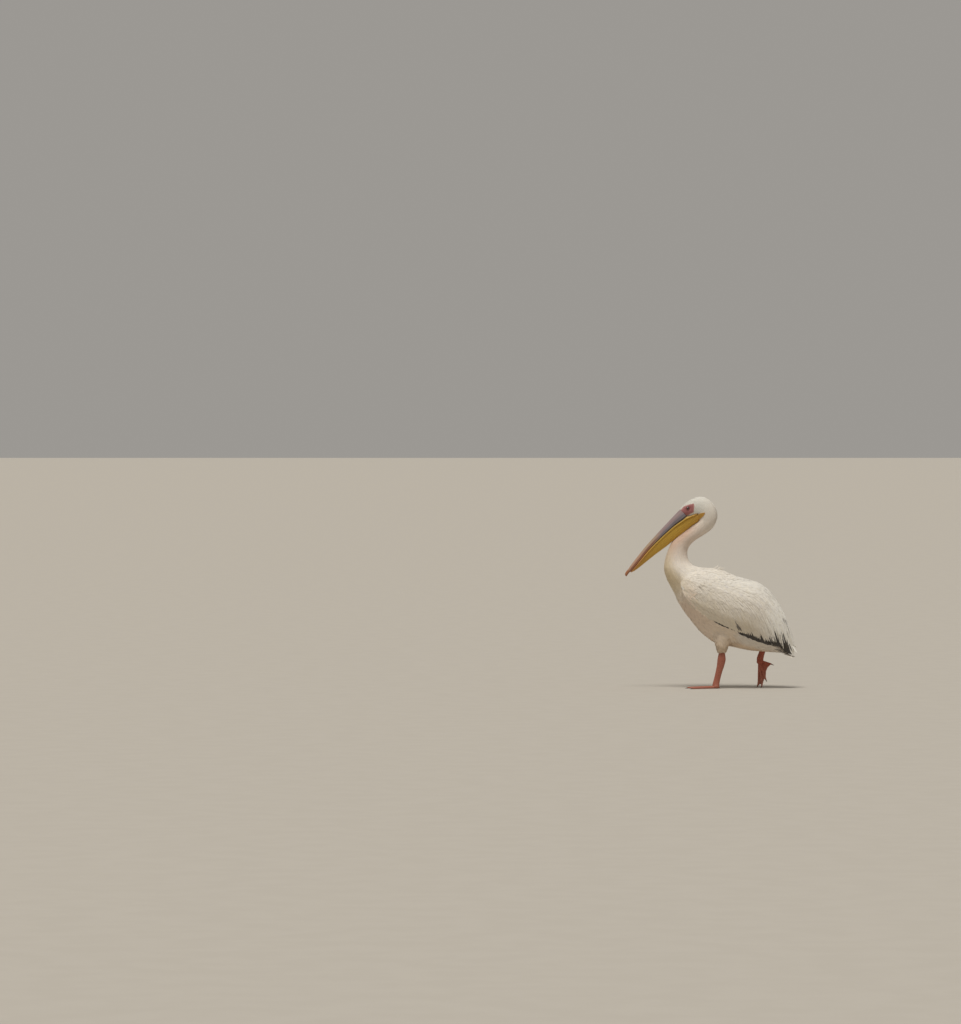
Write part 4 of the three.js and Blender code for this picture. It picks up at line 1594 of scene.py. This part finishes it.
DARK_MARKS = (
    Marks(5.2, 7.4, 3.2, (  # the wedge above the lower edge
        (137, 287, 30, 4), (141, 285, 56, 4.4), (146, 284, 42, 4.2),
        (150, 286, 24, 3.4),
    )),
    # painted shadows: thin dark feathers laid where grey shadows fall between feathers on the scapulars and
    # the rear coverts
    Marks(4.9, 6.8, 4.5, (  # thin lines on the scapulars and the rear coverts
        (285, 451, 44, 1.6), (372, 314, 34, 1.8), (361, 318, 30, 1.8),
        (53, 528, 26, 1.4),
    )),
    Marks(3.4, 7.2, 1.2, (  # secondaries that show between the long coverts
        (303, 214, 60, 7), (322, 236, 62, 7), (334, 224, 76, 8),
        (345, 212, 84, 8), (353, 226, 70, 7), (361, 203, 80, 8),
        (368, 216, 84, 6), (374, 190, 80, 8), (382, 203, 90, 6),
        (389, 180, 84, 8), (397, 190, 80, 5),
    )),
    Marks(6.4, 8.4, 2.6, (  # lines down the rear edge
        (362, 322, 26, 2.4), (376, 300, 40, 2.6), (390, 262, 46, 2.4),
        (384, 246, 40, 2.2),
    )),
    Marks(6, 9.6, 1.4, (  # the ends of the primaries
        (384, 180, 60, 7), (390, 177, 56, 8), (396, 176, 54, 7),
        (401, 182, 44, 5),
    )),
)


@dataclass
class Wing:
    """A folded wing's feathers: coverts over the arm, long coverts, and black quills under them."""

    side: int
    surface: Surface
    markings: Markings
    white: bpy.types.Material
    black: bpy.types.Material
    black_colour: Colour = (0.060, 0.053, 0.047)
    steps: int = 8
    rows: tuple[tuple[float, ...], ...] = (  # lift, gap, length, width and height of the tips
        (40.0, 7.5, 86.0, 15.0, 5.2), (22.0, 7.0, 96.0, 15.0, 4.9), (6.0, 6.5, 108.0, 15.0, 4.5),
    )
    blades: tuple[tuple[float, ...], ...] = (  # lift, spread, count, length, width and height of the tips
        (110.0, 70.0, 30, 125.0, 10.0, 5.5), (60.0, 60.0, 20, 140.0, 8.0, 6.3),
        (14.0, 46.0, 15, 150.0, 7.0, 7.6),
    )

    @property
    def name(self) -> str:
        """The side's word."""
        return "left" if self.side < 0 else "right"

    def rooted(self, tips: Array, length: Array) -> tuple[Array, Array]:
        """Roots found by walking up the lie of the wing from the tips.

        Args:
            tips: The tips as (x, z) in the bird's own millimetres.
            length: The feathers' lengths.

        Returns:
            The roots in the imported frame, and which of them are on the body.
        """
        x, z = tips.astype(float).T.copy()
        for _ in range(self.steps):
            flow = down_the_wing(np.stack([x, np.zeros(len(x)), z], -1))
            x -= flow[:, 0] * length / self.steps
            z -= flow[:, 2] * length / self.steps
        return self.surface.from_side(x, z, self.side)

    def row(
        self, kind: Kind, tips: Array, length: Array, width: Array | float, low: float, high: float,
        colours: Array, rng: np.random.Generator,
    ) -> Feathers:
        """A row of feathers that end at given tips.

        Args:
            kind: The kind of feather.
            tips: The tips as (x, z) in the bird's own millimetres.
            length: Their lengths.
            width: Their widths.
            low: How high the roots stand off the skin.
            high: How high the tips stand.
            colours: One colour for each.
            rng: The source of chance.

        Returns:
            The feathers whose roots are on the body.
        """
        roots, met = self.rooted(tips, length)
        batch = Feathers(
            kind, roots, down_the_wing(to_bird(roots)), length, width, low, high, colours, keep=0.45,
            bend=rng.normal(0, 0.05, len(tips)),
        )
        return batch.only(met)

    def edge(self, start: float, end: float, gap: float, lift: float) -> Array:
        """Places along the wing's lower edge, from start to end along the bird, lifted off it."""
        x = np.arange(start, end, gap)
        return np.stack([x, table(x, WING_LOWER) + lift], -1)

    def blackish(self, count: int, shade: float, rng: np.random.Generator) -> Array:
        """Colours for black feathers, lighter where the shade is above 1."""
        return vary(np.tile(np.array(self.black_colour) * shade, (count, 1)), 0.15, rng)

    def whitish(self, tips: Array, rng: np.random.Generator) -> Array:
        """The wing's white at tips given as (x, z)."""
        points = np.stack([tips[:, 0], np.zeros(len(tips)), tips[:, 1]], -1)
        return vary(self.markings.wing(points), 0.03, rng)

    def build(self) -> None:
        """Makes the wing's black and white pieces."""
        rng = np.random.default_rng(SEED + 5 + self.side)
        self.build_black(rng)
        self.build_white(rng)

    def build_black(self, rng: np.random.Generator) -> None:
        """Secondaries along the lower edge, the primaries out to the wing's tip, and the dark marks.

        Args:
            rng: The source of chance.
        """
        part = Plumage(f"quills_{self.name}", self.surface, down_the_wing, over_wing)
        tips = self.edge(34, 318, 6.5, -2.0)
        length = 110.0 * (0.5 + 0.5 * ramp(30, 130, tips[:, 0]))
        tips = tips + rng.normal(0, 1.0, tips.shape)
        colours = self.blackish(len(tips), 1.0, rng)
        part.lay(self.row(Kind.QUILL, tips, length, 17.0, 1.0, 3.0, colours, rng))
        t = np.linspace(0, 1, 22)
        tips = np.stack([312 + 110 * t, 211 - 36 * np.sin(t * math.pi / 2)], -1)
        colours = self.blackish(len(t), 1.0, rng)
        part.lay(self.row(Kind.QUILL, tips, 120 + 30 * t, 15.0, 1.0, 4.0, colours, rng))
        for marks in DARK_MARKS:
            places = np.array(marks.places)
            colours = self.blackish(len(places), marks.shade, rng)
            length, width = places[:, 2], places[:, 3]
            tips, low, high = places[:, :2], marks.low, marks.high
            part.lay(self.row(Kind.LANCE, tips, length, width, low, high, colours, rng))
        part.build(self.black, "flight_feathers", (f"primaries_{self.name}",))

    def build_white(self, rng: np.random.Generator) -> None:
        """Coverts from the shoulder down, in rows that grow longer to the lower edge and the tail."""
        part = Plumage(f"coverts_{self.name}", self.surface, down_the_wing, over_wing)
        for batch in (*self.coverts(rng), *self.long_rows(rng), *self.loose_blades(rng)):
            part.lay(batch)
        part.build(self.white, "plumage")

    def coverts(self, rng: np.random.Generator) -> list[Feathers]:
        """The smaller feathers that cover the most of the wing.

        Args:
            rng: The source of chance.

        Returns:
            The rounded ones and the pointed ones.
        """

        def spacing(points: Array) -> Array:
            """The gap between coverts, or 0 off this wing."""
            share, _, _ = wing_place(points)
            gap = (5.6 + 1.2 * share) * (0.7 + 0.3 * ramp(-150, -10, points[:, 0]))
            return np.where((on_wing(points) > 1) & (points[:, 1] * self.side > 0), gap, 0.0)

        roots = self.surface.scatter(spacing, rng)
        points = to_bird(roots)
        x, y, _ = points.T
        share, _, _ = wing_place(points)
        back, low_down = ramp(0, 300, x), ramp(0.1, 0.6, share)
        small = 1 - 0.5 * ramp(0, -150, x)
        length = (44 + 34 * low_down + 34 * back) * rng.uniform(0.85, 1.15, len(roots))
        length *= small * (1 - 0.35 * ramp(375, 400, x))
        flow = down_the_wing(points)
        facing = np.sum(self.surface.nearest(roots)[1] * flow, axis=1)
        ends = points + flow * length[:, None]
        _, above, _ = WING_FOOT.locate(ends)
        rump = ramp(350, 385, x) * ramp(60, 45, np.abs(y))
        clear = above > 5 + 27 * ramp(-60, 160, x) - 42 * rump
        kept = (facing < 0.6) & clear & (ends[:, 0] < 424)
        roots, points, length, low_down, back, flow, small = (
            values[kept] for values in (roots, points, length, low_down, back, flow, small)
        )
        x, count = points[:, 0], len(roots)
        width = (14.5 - 1.5 * low_down - 4 * back) * small * rng.uniform(0.85, 1.15, count)
        flow = unit(flow + rng.normal(0, 0.04, (count, 3)))
        high = rng.uniform(4.0, 5.0, count) * (0.45 + 0.55 * ramp(-146, -105, x))
        colours = vary(self.markings.wing(points), 0.03, rng)
        bend = rng.normal(0, 0.06, count)
        feathers = Feathers(
            Kind.COVERT, roots, flow, length, width, 0.4, high, colours, keep=0.5, bend=bend
        )
        long = low_down * ramp(-80, 120, x) + rng.normal(0, 0.1, count) > 0.35
        return [feathers.only(~long), feathers.only(long, Kind.LANCE)]

    def long_rows(self, rng: np.random.Generator) -> Iterator[Feathers]:
        """The rows of long coverts over the quills, which are pointed and ragged to the rear.

        Args:
            rng: The source of chance.

        Returns:
            The rounded and then the pointed feathers of each row.
        """
        for lift, gap, length, width, high in self.rows:
            tips = self.edge(-96, 308, gap, lift)
            rear, far = ramp(60, 240, tips[:, 0]), ramp(150, 280, tips[:, 0])
            tips += rng.normal(0, 1.5, tips.shape) * (1 + 2.5 * far[:, None])
            tips[:, 1] += 11 * rear + rng.uniform(-12, 8, len(tips)) * far
            sizes = length * (0.55 + 0.45 * ramp(-150, 60, tips[:, 0])) * (1 + 0.3 * rear)
            colours = self.whitish(tips, rng)
            batch = self.row(Kind.COVERT, tips, sizes, width * (1 - 0.4 * far), 1.5, high, colours, rng)
            pointed = to_bird(batch.roots)[:, 0] > 110 + rng.normal(0, 20, len(batch.roots))
            yield batch.only(~pointed)
            yield batch.only(pointed, Kind.LANCE)

    def loose_blades(self, rng: np.random.Generator) -> Iterator[Feathers]:
        """Narrow pointed feathers that hang over the wing's rear, and the row down its very edge.

        Args:
            rng: The source of chance.

        Returns:
            Each row's feathers.
        """
        for low, spread, count, length, width, high in self.blades:
            x = np.linspace(288, 408, count) + rng.normal(0, 3, count)
            z = table(x, WING_LOWER) + low + rng.uniform(0, spread, count) + 34 * ramp(372, 398, x)
            tips = np.stack([x, z], -1)
            lengths = length * rng.uniform(0.85, 1.15, count)
            widths = width * rng.uniform(0.75, 1.25, count)
            yield self.row(Kind.LANCE, tips, lengths, widths, 2.0, high, self.whitish(tips, rng), rng)
        t = np.linspace(0, 1, 9)
        tips = np.stack([413 - 8 * t, 186 + 58 * t], -1)
        yield self.row(Kind.LANCE, tips, 150 - 30 * t, 7.0, 2.0, 7.0, self.whitish(tips, rng), rng)


class TailPlane:
    """The shallow arch that the tail feathers lie in, which nothing bends out of."""

    ARCH = 0.45

    def __init__(self, slope: float, half: float) -> None:
        """Takes the tail's slope in the profile plane, in radians, and its half width in metres."""
        self.slope, self.half = slope, half

    def nearest(self, points: Array) -> tuple[Array, Array]:
        """The points themselves, with normals that tip outwards from the middle."""
        lean = self.ARCH * np.clip(points[:, 1] / self.half, -1, 1)
        back, up = -math.sin(self.slope) * np.cos(lean), math.cos(self.slope) * np.cos(lean)
        return points, unit(np.stack([back, np.sin(lean), up], -1))


@dataclass
class Tail:
    """Short white tail feathers in a shallow fan."""

    markings: Markings
    material: bpy.types.Material
    feathers: int = 24
    width: float = 15.0
    root_half: float = 24.0
    short: float = 16.0  # how much shorter the outermost are

    def build(self) -> None:
        """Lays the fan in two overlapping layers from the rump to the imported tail's end."""
        rng = np.random.default_rng(SEED + 40)
        low, high = (to_bird(np.array(c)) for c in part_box("tail"))
        drop = low[2] - high[2] + 8
        slope = drop / (high[0] - low[0])
        plane = TailPlane(math.atan2(drop, high[0] - low[0]), high[1] * MM)
        part = Plumage("tail_feathers", plane, self.flow, self.unwrap)
        turn = np.linspace(-1, 1, self.feathers)
        spread = turn * (high[1] - self.root_half - 8)
        for start, end, rise in ((low[0] - 20, high[0] - 3, -4.0), (low[0] - 40, high[0] - 40, -1.0)):
            x, y = np.full(self.feathers, start), turn * self.root_half
            roots = to_frame(x, y, high[2] + (start - low[0]) * slope)
            reach = end - start - self.short * turn**2 - rng.uniform(0, 5, self.feathers)
            aim = np.stack([reach, spread, reach * slope], -1)
            places = np.stack([x, y, np.full(self.feathers, 200.0)], -1)
            tips = rise + 3.0 * (1 - np.abs(turn))
            colours = vary(self.markings.plumage(places), 0.03, rng)
            length = np.linalg.norm(aim, axis=1)
            part.lay(
                Feathers(Kind.QUILL, roots, unit(aim), length, self.width, rise, tips, colours, keep=1.0)
            )
        part.build(self.material, "plumage", ("tail",))

    def flow(self, points: Array) -> Array:
        """Straight back and down."""
        return np.tile(np.array([0.92, 0.0, -0.4]), (len(points), 1))

    def unwrap(self, points: Array) -> tuple[Array, Array]:
        """Across and along the fan."""
        return points[:, 1], points[:, 0]


@dataclass
class Along:
    """Where points lie in a long piece: along it, and as shares of its height and half width there."""

    line: ProfileLine
    bins: int = 80

    def measure(self, points: Array) -> tuple[Array, Array, Array]:
        """The share of the way along, the share of the height and the share of the half width.

        Args:
            points: Points in the bird's own millimetres.

        Returns:
            The three shares, with one value for each point.
        """
        along, above, _ = self.line.locate(points)
        out = np.abs(points[:, 1])
        share = (along - along.min()) / (along.max() - along.min())
        cell = np.minimum((share * self.bins).astype(int), self.bins - 1)
        top, base, wide = np.full(self.bins, -1e9), np.full(self.bins, 1e9), np.full(self.bins, 1e-3)
        np.maximum.at(top, cell, above)
        np.minimum.at(base, cell, above)
        np.maximum.at(wide, cell, out)
        centres = (np.arange(self.bins) + 0.5) / self.bins
        used = top > -1e8
        top, base, wide = (np.interp(share, centres[used], v[used]) for v in (top, base, wide))
        return share, np.clip((above - base) / np.maximum(top - base, 0.5), 0, 1), out / wide


@dataclass
class Bill:
    """The upper mandible with its nail, the lower jaw's rami and the pouch between them."""

    line: ProfileLine
    jaw: ProfileLine
    proud: float = 1.6
    cheeks_start: float = -95.0
    cheeks_end: float = -60.0
    corner: float = -72.0
    corner_strokes: int = 16
    horn: Colour = (0.33, 0.245, 0.245)
    horn_yellow: Colour = (0.42, 0.30, 0.20)
    horn_pink: Colour = (0.48, 0.29, 0.19)
    horn_blue: Colour = (0.245, 0.235, 0.275)
    lip_red: Colour = (0.42, 0.19, 0.11)
    groove_red: Colour = (0.26, 0.075, 0.055)
    nail_red: Colour = (0.42, 0.18, 0.09)
    nail_pale: Colour = (0.58, 0.34, 0.20)
    jaw_yellow: Colour = (0.62, 0.40, 0.065)
    jaw_red: Colour = (0.60, 0.30, 0.11)
    jaw_ledge_shade: Colour = (0.24, 0.17, 0.10)
    pouch_yellow: Colour = (0.72, 0.47, 0.070)
    pouch_red: Colour = (0.70, 0.38, 0.09)
    pouch_fold_shade: Colour = (0.50, 0.30, 0.04)

    def build(self) -> None:
        """Makes the four pieces."""
        self.upper()
        self.nail()
        self.rami()
        self.pouch()

    def meet_cheeks(self, mesh: bpy.types.Mesh) -> None:
        """Brings the gape's sides out to the cheeks, so that its skin shows back to its corner.

        Args:
            mesh: The mesh, which is changed.
        """
        points, normals = to_bird(coordinates(mesh)), normals_of(mesh)
        trees = [tree_of(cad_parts[node].data) for node in ("head", "neck_upper")]
        for i in np.flatnonzero((points[:, 0] > -90) & (np.abs(normals[:, 1]) > 0.15)):
            sign = math.copysign(1.0, points[i, 1])
            start = to_frame(points[i, 0], sign * FAR_OUT, points[i, 2]).tolist()
            hits = [tree.ray_cast(start, (0.0, -sign, 0.0))[0] for tree in trees]
            cheek = max((abs(hit.y) / MM for hit in hits if hit is not None), default=0.0) + self.proud
            spare = max(abs(points[i, 1]) - cheek, 0.0) if cheek > self.proud else 0.0
            near = (points[i, 0] - self.cheeks_start) / (self.cheeks_end - self.cheeks_start)
            points[i, 1] = sign * (max(abs(points[i, 1]), cheek) - spare * min(max(near, 0.0), 1.0))
        set_points(mesh, to_frame(*points.T))

    def upper(self) -> None:
        """A ridged mandible: a raised culmen, a groove on each side of it and a lip along its edge."""
        piece = fused("mandible", ["bill_upper"], 1.2, 2, swell=0.8)
        points, normals = to_bird(coordinates(piece.data)), normals_of(piece.data)
        share, low, out = Along(self.line).measure(points)
        fade = ramp(0.0, 0.05, share) * ramp(1.0, 0.93, share)
        top = ramp(0.0, 0.5, normals[:, 2] * 0.7 - normals[:, 0] * 0.7)
        lift = 0.9 * bump(0.0, 0.2, out) * top - 1.1 * bump(0.42, 0.09, out) * top
        lift += 0.5 * bump(0.92, 0.08, low) - 0.6 * bump(0.60, 0.07, low)
        set_points(piece.data, to_frame(*points.T) + normals * (lift * fade * MM)[:, None])
        colours = layered(
            len(points), self.horn,
            (self.horn_yellow, ramp(0.30, 0.55, share)),
            (self.horn_pink, ramp(0.55, 0.85, share)),
            (self.horn_blue, ramp(0.30, 0.62, low) * ramp(0.55, 0.35, share) * 0.9),
            (self.lip_red, ramp(0.5, 0.8, low) * ramp(0.5, 0.68, share) * 0.9),
            (self.groove_red, bump(0.58, 0.13, low) * ramp(0.36, 0.55, share) * 0.8),
        )
        paint(piece.data, colours)
        finish_piece(piece, HornFinish("bill_horn").material(), ("bill_upper",))

    def nail(self) -> None:
        """The hooked nail at the tip."""
        piece = fused("nail", ["bill_nail"], 0.8, 3)
        height = to_bird(coordinates(piece.data))[:, 2]
        paint(piece.data, layered(len(height), self.nail_red, (self.nail_pale, ramp(580, 592, height))))
        finish_piece(piece, HornFinish("nail_horn", roughness=0.3).material(), ("bill_nail",))

    def rami(self) -> None:
        """The two thin arms of the lower jaw."""
        piece = fused("rami", ["bill_lower"], 1.2, 2, swell=0.8)
        self.meet_cheeks(piece.data)
        points = to_bird(coordinates(piece.data))
        points[:, 1] *= 1 - 0.14 * ramp(-90, -60, points[:, 0])
        share, low, _ = Along(self.jaw).measure(points)
        points[:, 2] += 4.5 * bump(-115, 13, points[:, 0]) * ramp(0.6, 0.1, low)
        set_points(piece.data, to_frame(*points.T))
        colours = layered(
            len(points), self.jaw_yellow,
            (self.jaw_red, ramp(0.5, 1.0, share) + 0.5 * ramp(0.15, 0.0, share)),
            # painted shade: the top ledge of each ramus is painted darker, as if shaded by the mandible
            # above
            (self.jaw_ledge_shade, ramp(0.45, 0.1, low) * ramp(0.75, 0.5, share) * 0.85),
        )
        paint(piece.data, colours)
        finish = HornFinish("bill_rami", roughness=0.45)
        finish_piece(piece, finish.material(), ("bill_lower",))

    def pouch(self) -> None:
        """Soft yellow skin with shallow lengthwise folds, painted darker in their hollows as shade, and
        fine veins.
        """
        piece = fused("gular_pouch", ["pouch"], 1.4, 3, swell=1.2)
        self.meet_cheeks(piece.data)
        points = to_bird(coordinates(piece.data))
        heel = (bump(-61, 16, points[:, 0]) * ramp(840, 826, points[:, 2]))[:, None]
        set_points(piece.data, to_frame(*(points + heel * np.array([4.0, 0.0, -4.0])).T))
        with editing(piece.data) as work:
            near = [v for v in work.verts if (v.co.x - SHIFT) / MM > self.corner]
            smooth(work, near, 0.5, self.corner_strokes)
        points, normals = to_bird(coordinates(piece.data)), normals_of(piece.data)
        share, low, _ = Along(self.jaw).measure(points)
        wave = np.sin(low * 34 + 3 * np.sin(share * 9) + share * 6)
        rear = 0.4 + 0.6 * ramp(0.5, 0.1, share)
        folds = 0.45 * wave * ramp(0.0, 0.25, low) * ramp(1.0, 0.8, low) * rear * ramp(1, 0.9, share)
        set_points(piece.data, to_frame(*points.T) + normals * (folds * MM)[:, None])
        colours = layered(
            len(points), self.pouch_yellow,
            (self.pouch_red, 0.75 * ramp(0.22, 0.0, share) + 0.6 * ramp(0.6, 1.0, share)),
            # painted shade in the hollows of the folds
            (self.pouch_fold_shade, 0.35 * ramp(0.2, -1.0, wave)),
        )
        paint(piece.data, colours)
        finish = SkinFinish("pouch_skin", roughness=0.42, grain=1100.0, depth=0.0002)
        finish_piece(piece, finish.material(), ("pouch",))


@dataclass
class Leg:
    """A scaled shank with its webbed foot, and its claws."""

    side: str
    hue: Colour
    # on the right leg this share is raised and the pale colour reaches higher: painted light on a foot that
    # stands in shade
    bloom_and_light: float = 0.35  # how much of the pale colour there is, up to bloom_top
    bloom_top: float = 50.0
    bloom_colour: Colour = (0.62, 0.27, 0.19)
    crease: float = 0.42
    shank_scale: float = 4.2
    web_scale: float = 2.6
    web_top: float = 14.0
    shank_start: float = 40.0
    claw_tip: Colour = (0.20, 0.11, 0.08)
    claw_root: Colour = (0.06, 0.04, 0.035)

    def build(self) -> None:
        """Makes the leg and then each claw."""
        nodes = (f"shank_{self.side}", f"foot_{self.side}")
        piece = fused(f"leg_{self.side}", nodes, 1.1, 3)
        self.scale_over(piece)
        finish = SkinFinish(f"leg_skin_{self.side}", roughness=0.5, grain=1500.0, depth=0.0002)
        finish_piece(piece, finish.material(), nodes)
        for toe in ("outer", "middle", "inner", "hind"):
            self.claw(toe)

    def by_height(self, points: Array, web: float, shank: float) -> Array:
        """A measure that goes from the web's to the shank's."""
        return np.interp(points[:, 2], (self.web_top, self.shank_start), (web, shank))

    def scale_over(self, piece: bpy.types.Object) -> None:
        """Sinks a net of creases between scales, and paints them.

        Args:
            piece: The leg, before it is finished.
        """
        points, normals = coordinates(piece.data), normals_of(piece.data)
        places = to_bird(points)
        rng = np.random.default_rng(SEED + len(self.side))
        tree = point_tree(
            Surface(piece.data).scatter(lambda p: self.by_height(p, self.web_scale, self.shank_scale), rng)
        )
        gaps = np.array([[found[2] for found in tree.find_n(p, 2)] for p in points.tolist()]) / MM
        edge = ramp(0.9, 0.1, gaps[:, 1] - gaps[:, 0])
        sunk = edge * self.crease * self.by_height(places, 0.5, 1.0)
        set_points(piece.data, points - normals * (sunk * MM)[:, None])
        colours = layered(
            len(points), self.hue,
            # the pale colour towards the web; on the right leg partly painted light
            (self.bloom_colour, self.bloom_and_light * ramp(self.bloom_top, 8, places[:, 2])),
            (tuple(c * 0.45 for c in self.hue), edge * 0.75),
        )
        paint(piece.data, vary(colours, 0.02, rng))

    def claw(self, toe: str) -> None:
        """One curved claw.

        Args:
            toe: The toe's name.
        """
        node = f"claw_{self.side}_{toe}"
        piece = fused(f"{toe}_claw_{self.side}", [node], 0.5, 2, swell=0.1)
        x = coordinates(piece.data)[:, 0]
        share = (x - x.min()) / max(x.max() - x.min(), 1e-6)
        paint(piece.data, layered(len(x), self.claw_tip, (self.claw_root, 1 - share)))
        finish = HornFinish(f"claw_horn_{self.side}_{toe}", roughness=0.35, stretch=200.0)
        finish_piece(piece, finish.material(), (node,))


@dataclass
class Studio:
    """A plain pale floor, soft light and the camera."""

    floor_size: float = 1400.0
    floor_light: Colour = (0.52, 0.485, 0.43)
    floor_dark: Colour = (0.48, 0.445, 0.39)
    sun_turn: tuple[float, float, float] = (math.radians(20), math.radians(-3), math.radians(-12))
    sun_strength: float = 2.15
    sun_width: float = math.radians(24)
    sun_colour: Colour = (1.0, 0.975, 0.93)
    sky_colour: Colour = (1.0, 0.955, 0.89)
    sky_strength: float = 0.33
    eye_point: tuple[float, float, float] = (-1.137, -24.0, 1.176)
    pitch: float = math.radians(90 - 0.731)
    lens: float = 170.8
    sensor: float = 36.0
    view_end: float = 3000.0

    def build(self) -> None:
        """Places the floor, the lights and the camera."""
        self.floor()
        self.lights()
        data = bpy.data.cameras.new("camera")
        data.lens, data.sensor_width, data.clip_end = self.lens, self.sensor, self.view_end
        camera = self.place("camera", data, (self.pitch, 0.0, 0.0))
        camera.location = self.eye_point
        bpy.context.scene.camera = camera

    def floor(self) -> None:
        """A wide floor with a slight grain."""
        half = self.floor_size / 2
        corners = np.array([(-half, -half, 0), (half, -half, 0), (half, half, 0), (-half, half, 0)], float)
        floor = new_object("studio_floor", corners, np.array([[0, 1, 2, 3]]), np.empty((0, 3), int))
        graph = Graph("studio_floor", 0.9, {"Specular IOR Level": 0.1})
        grain = graph.noise(graph.place(), 8.0, 6.0)
        graph.colour(graph.mixed(grain.between(0.35, 0.65) * 0.3, self.floor_light, self.floor_dark))
        floor.data.materials.append(graph.material)

    def lights(self) -> None:
        """A sun as soft as it is wide, and an even sky."""
        sun = bpy.data.lights.new("sun_key", "SUN")
        sun.energy, sun.angle, sun.color = self.sun_strength, self.sun_width, self.sun_colour
        self.place("sun_key", sun, self.sun_turn)
        world = bpy.data.worlds.new("studio")
        world.use_nodes = True
        sky = world.node_tree.nodes["Background"].inputs
        sky["Color"].default_value = (*self.sky_colour, 1.0)
        sky["Strength"].default_value = self.sky_strength
        bpy.context.scene.world = world
        bpy.context.scene.view_settings.view_transform = "Standard"

    def place(self, name: str, data: bpy.types.ID, turn: tuple[float, float, float]) -> bpy.types.Object:
        """A linked object with the data, turned."""
        made = bpy.data.objects.new(name, data)
        made.rotation_euler = turn
        bpy.context.scene.collection.objects.link(made)
        return made


def main() -> None:
    """Builds the bird from the skin out, then the studio."""
    logging.basicConfig(level=logging.INFO, format="%(relativeCreated)d %(message)s")
    coat, markings = Coat(), Markings()
    surface = Surface(Skin(markings, coat).build().data)
    soft = PlumageFinish("down").material()
    vaned = PlumageFinish("white_feathers", roughness=0.66, barbs=150.0, barb_relief=0.35).material()
    black = PlumageFinish("black_feathers", roughness=0.5, barbs=170.0, barb_relief=0.35).material()
    BodyCoat(surface, coat, markings, soft).build()
    for side in (-1, 1):
        Wing(side, surface, markings, vaned, black).build()
    Tail(markings, vaned).build()
    for side in ("left", "right"):
        Eye(side).build()
    Bill(ProfileLine(BILL_LINE), ProfileLine(GAPE_LINE)).build()
    Leg("left", (0.48, 0.175, 0.115)).build()
    # painted light: the right foot stands in shade, so its pale colour is raised and reaches higher
    Leg("right", (0.45, 0.125, 0.07), bloom_and_light=0.9, bloom_top=130.0).build()
    Studio().build()


if __name__ == "__main__":
    main()
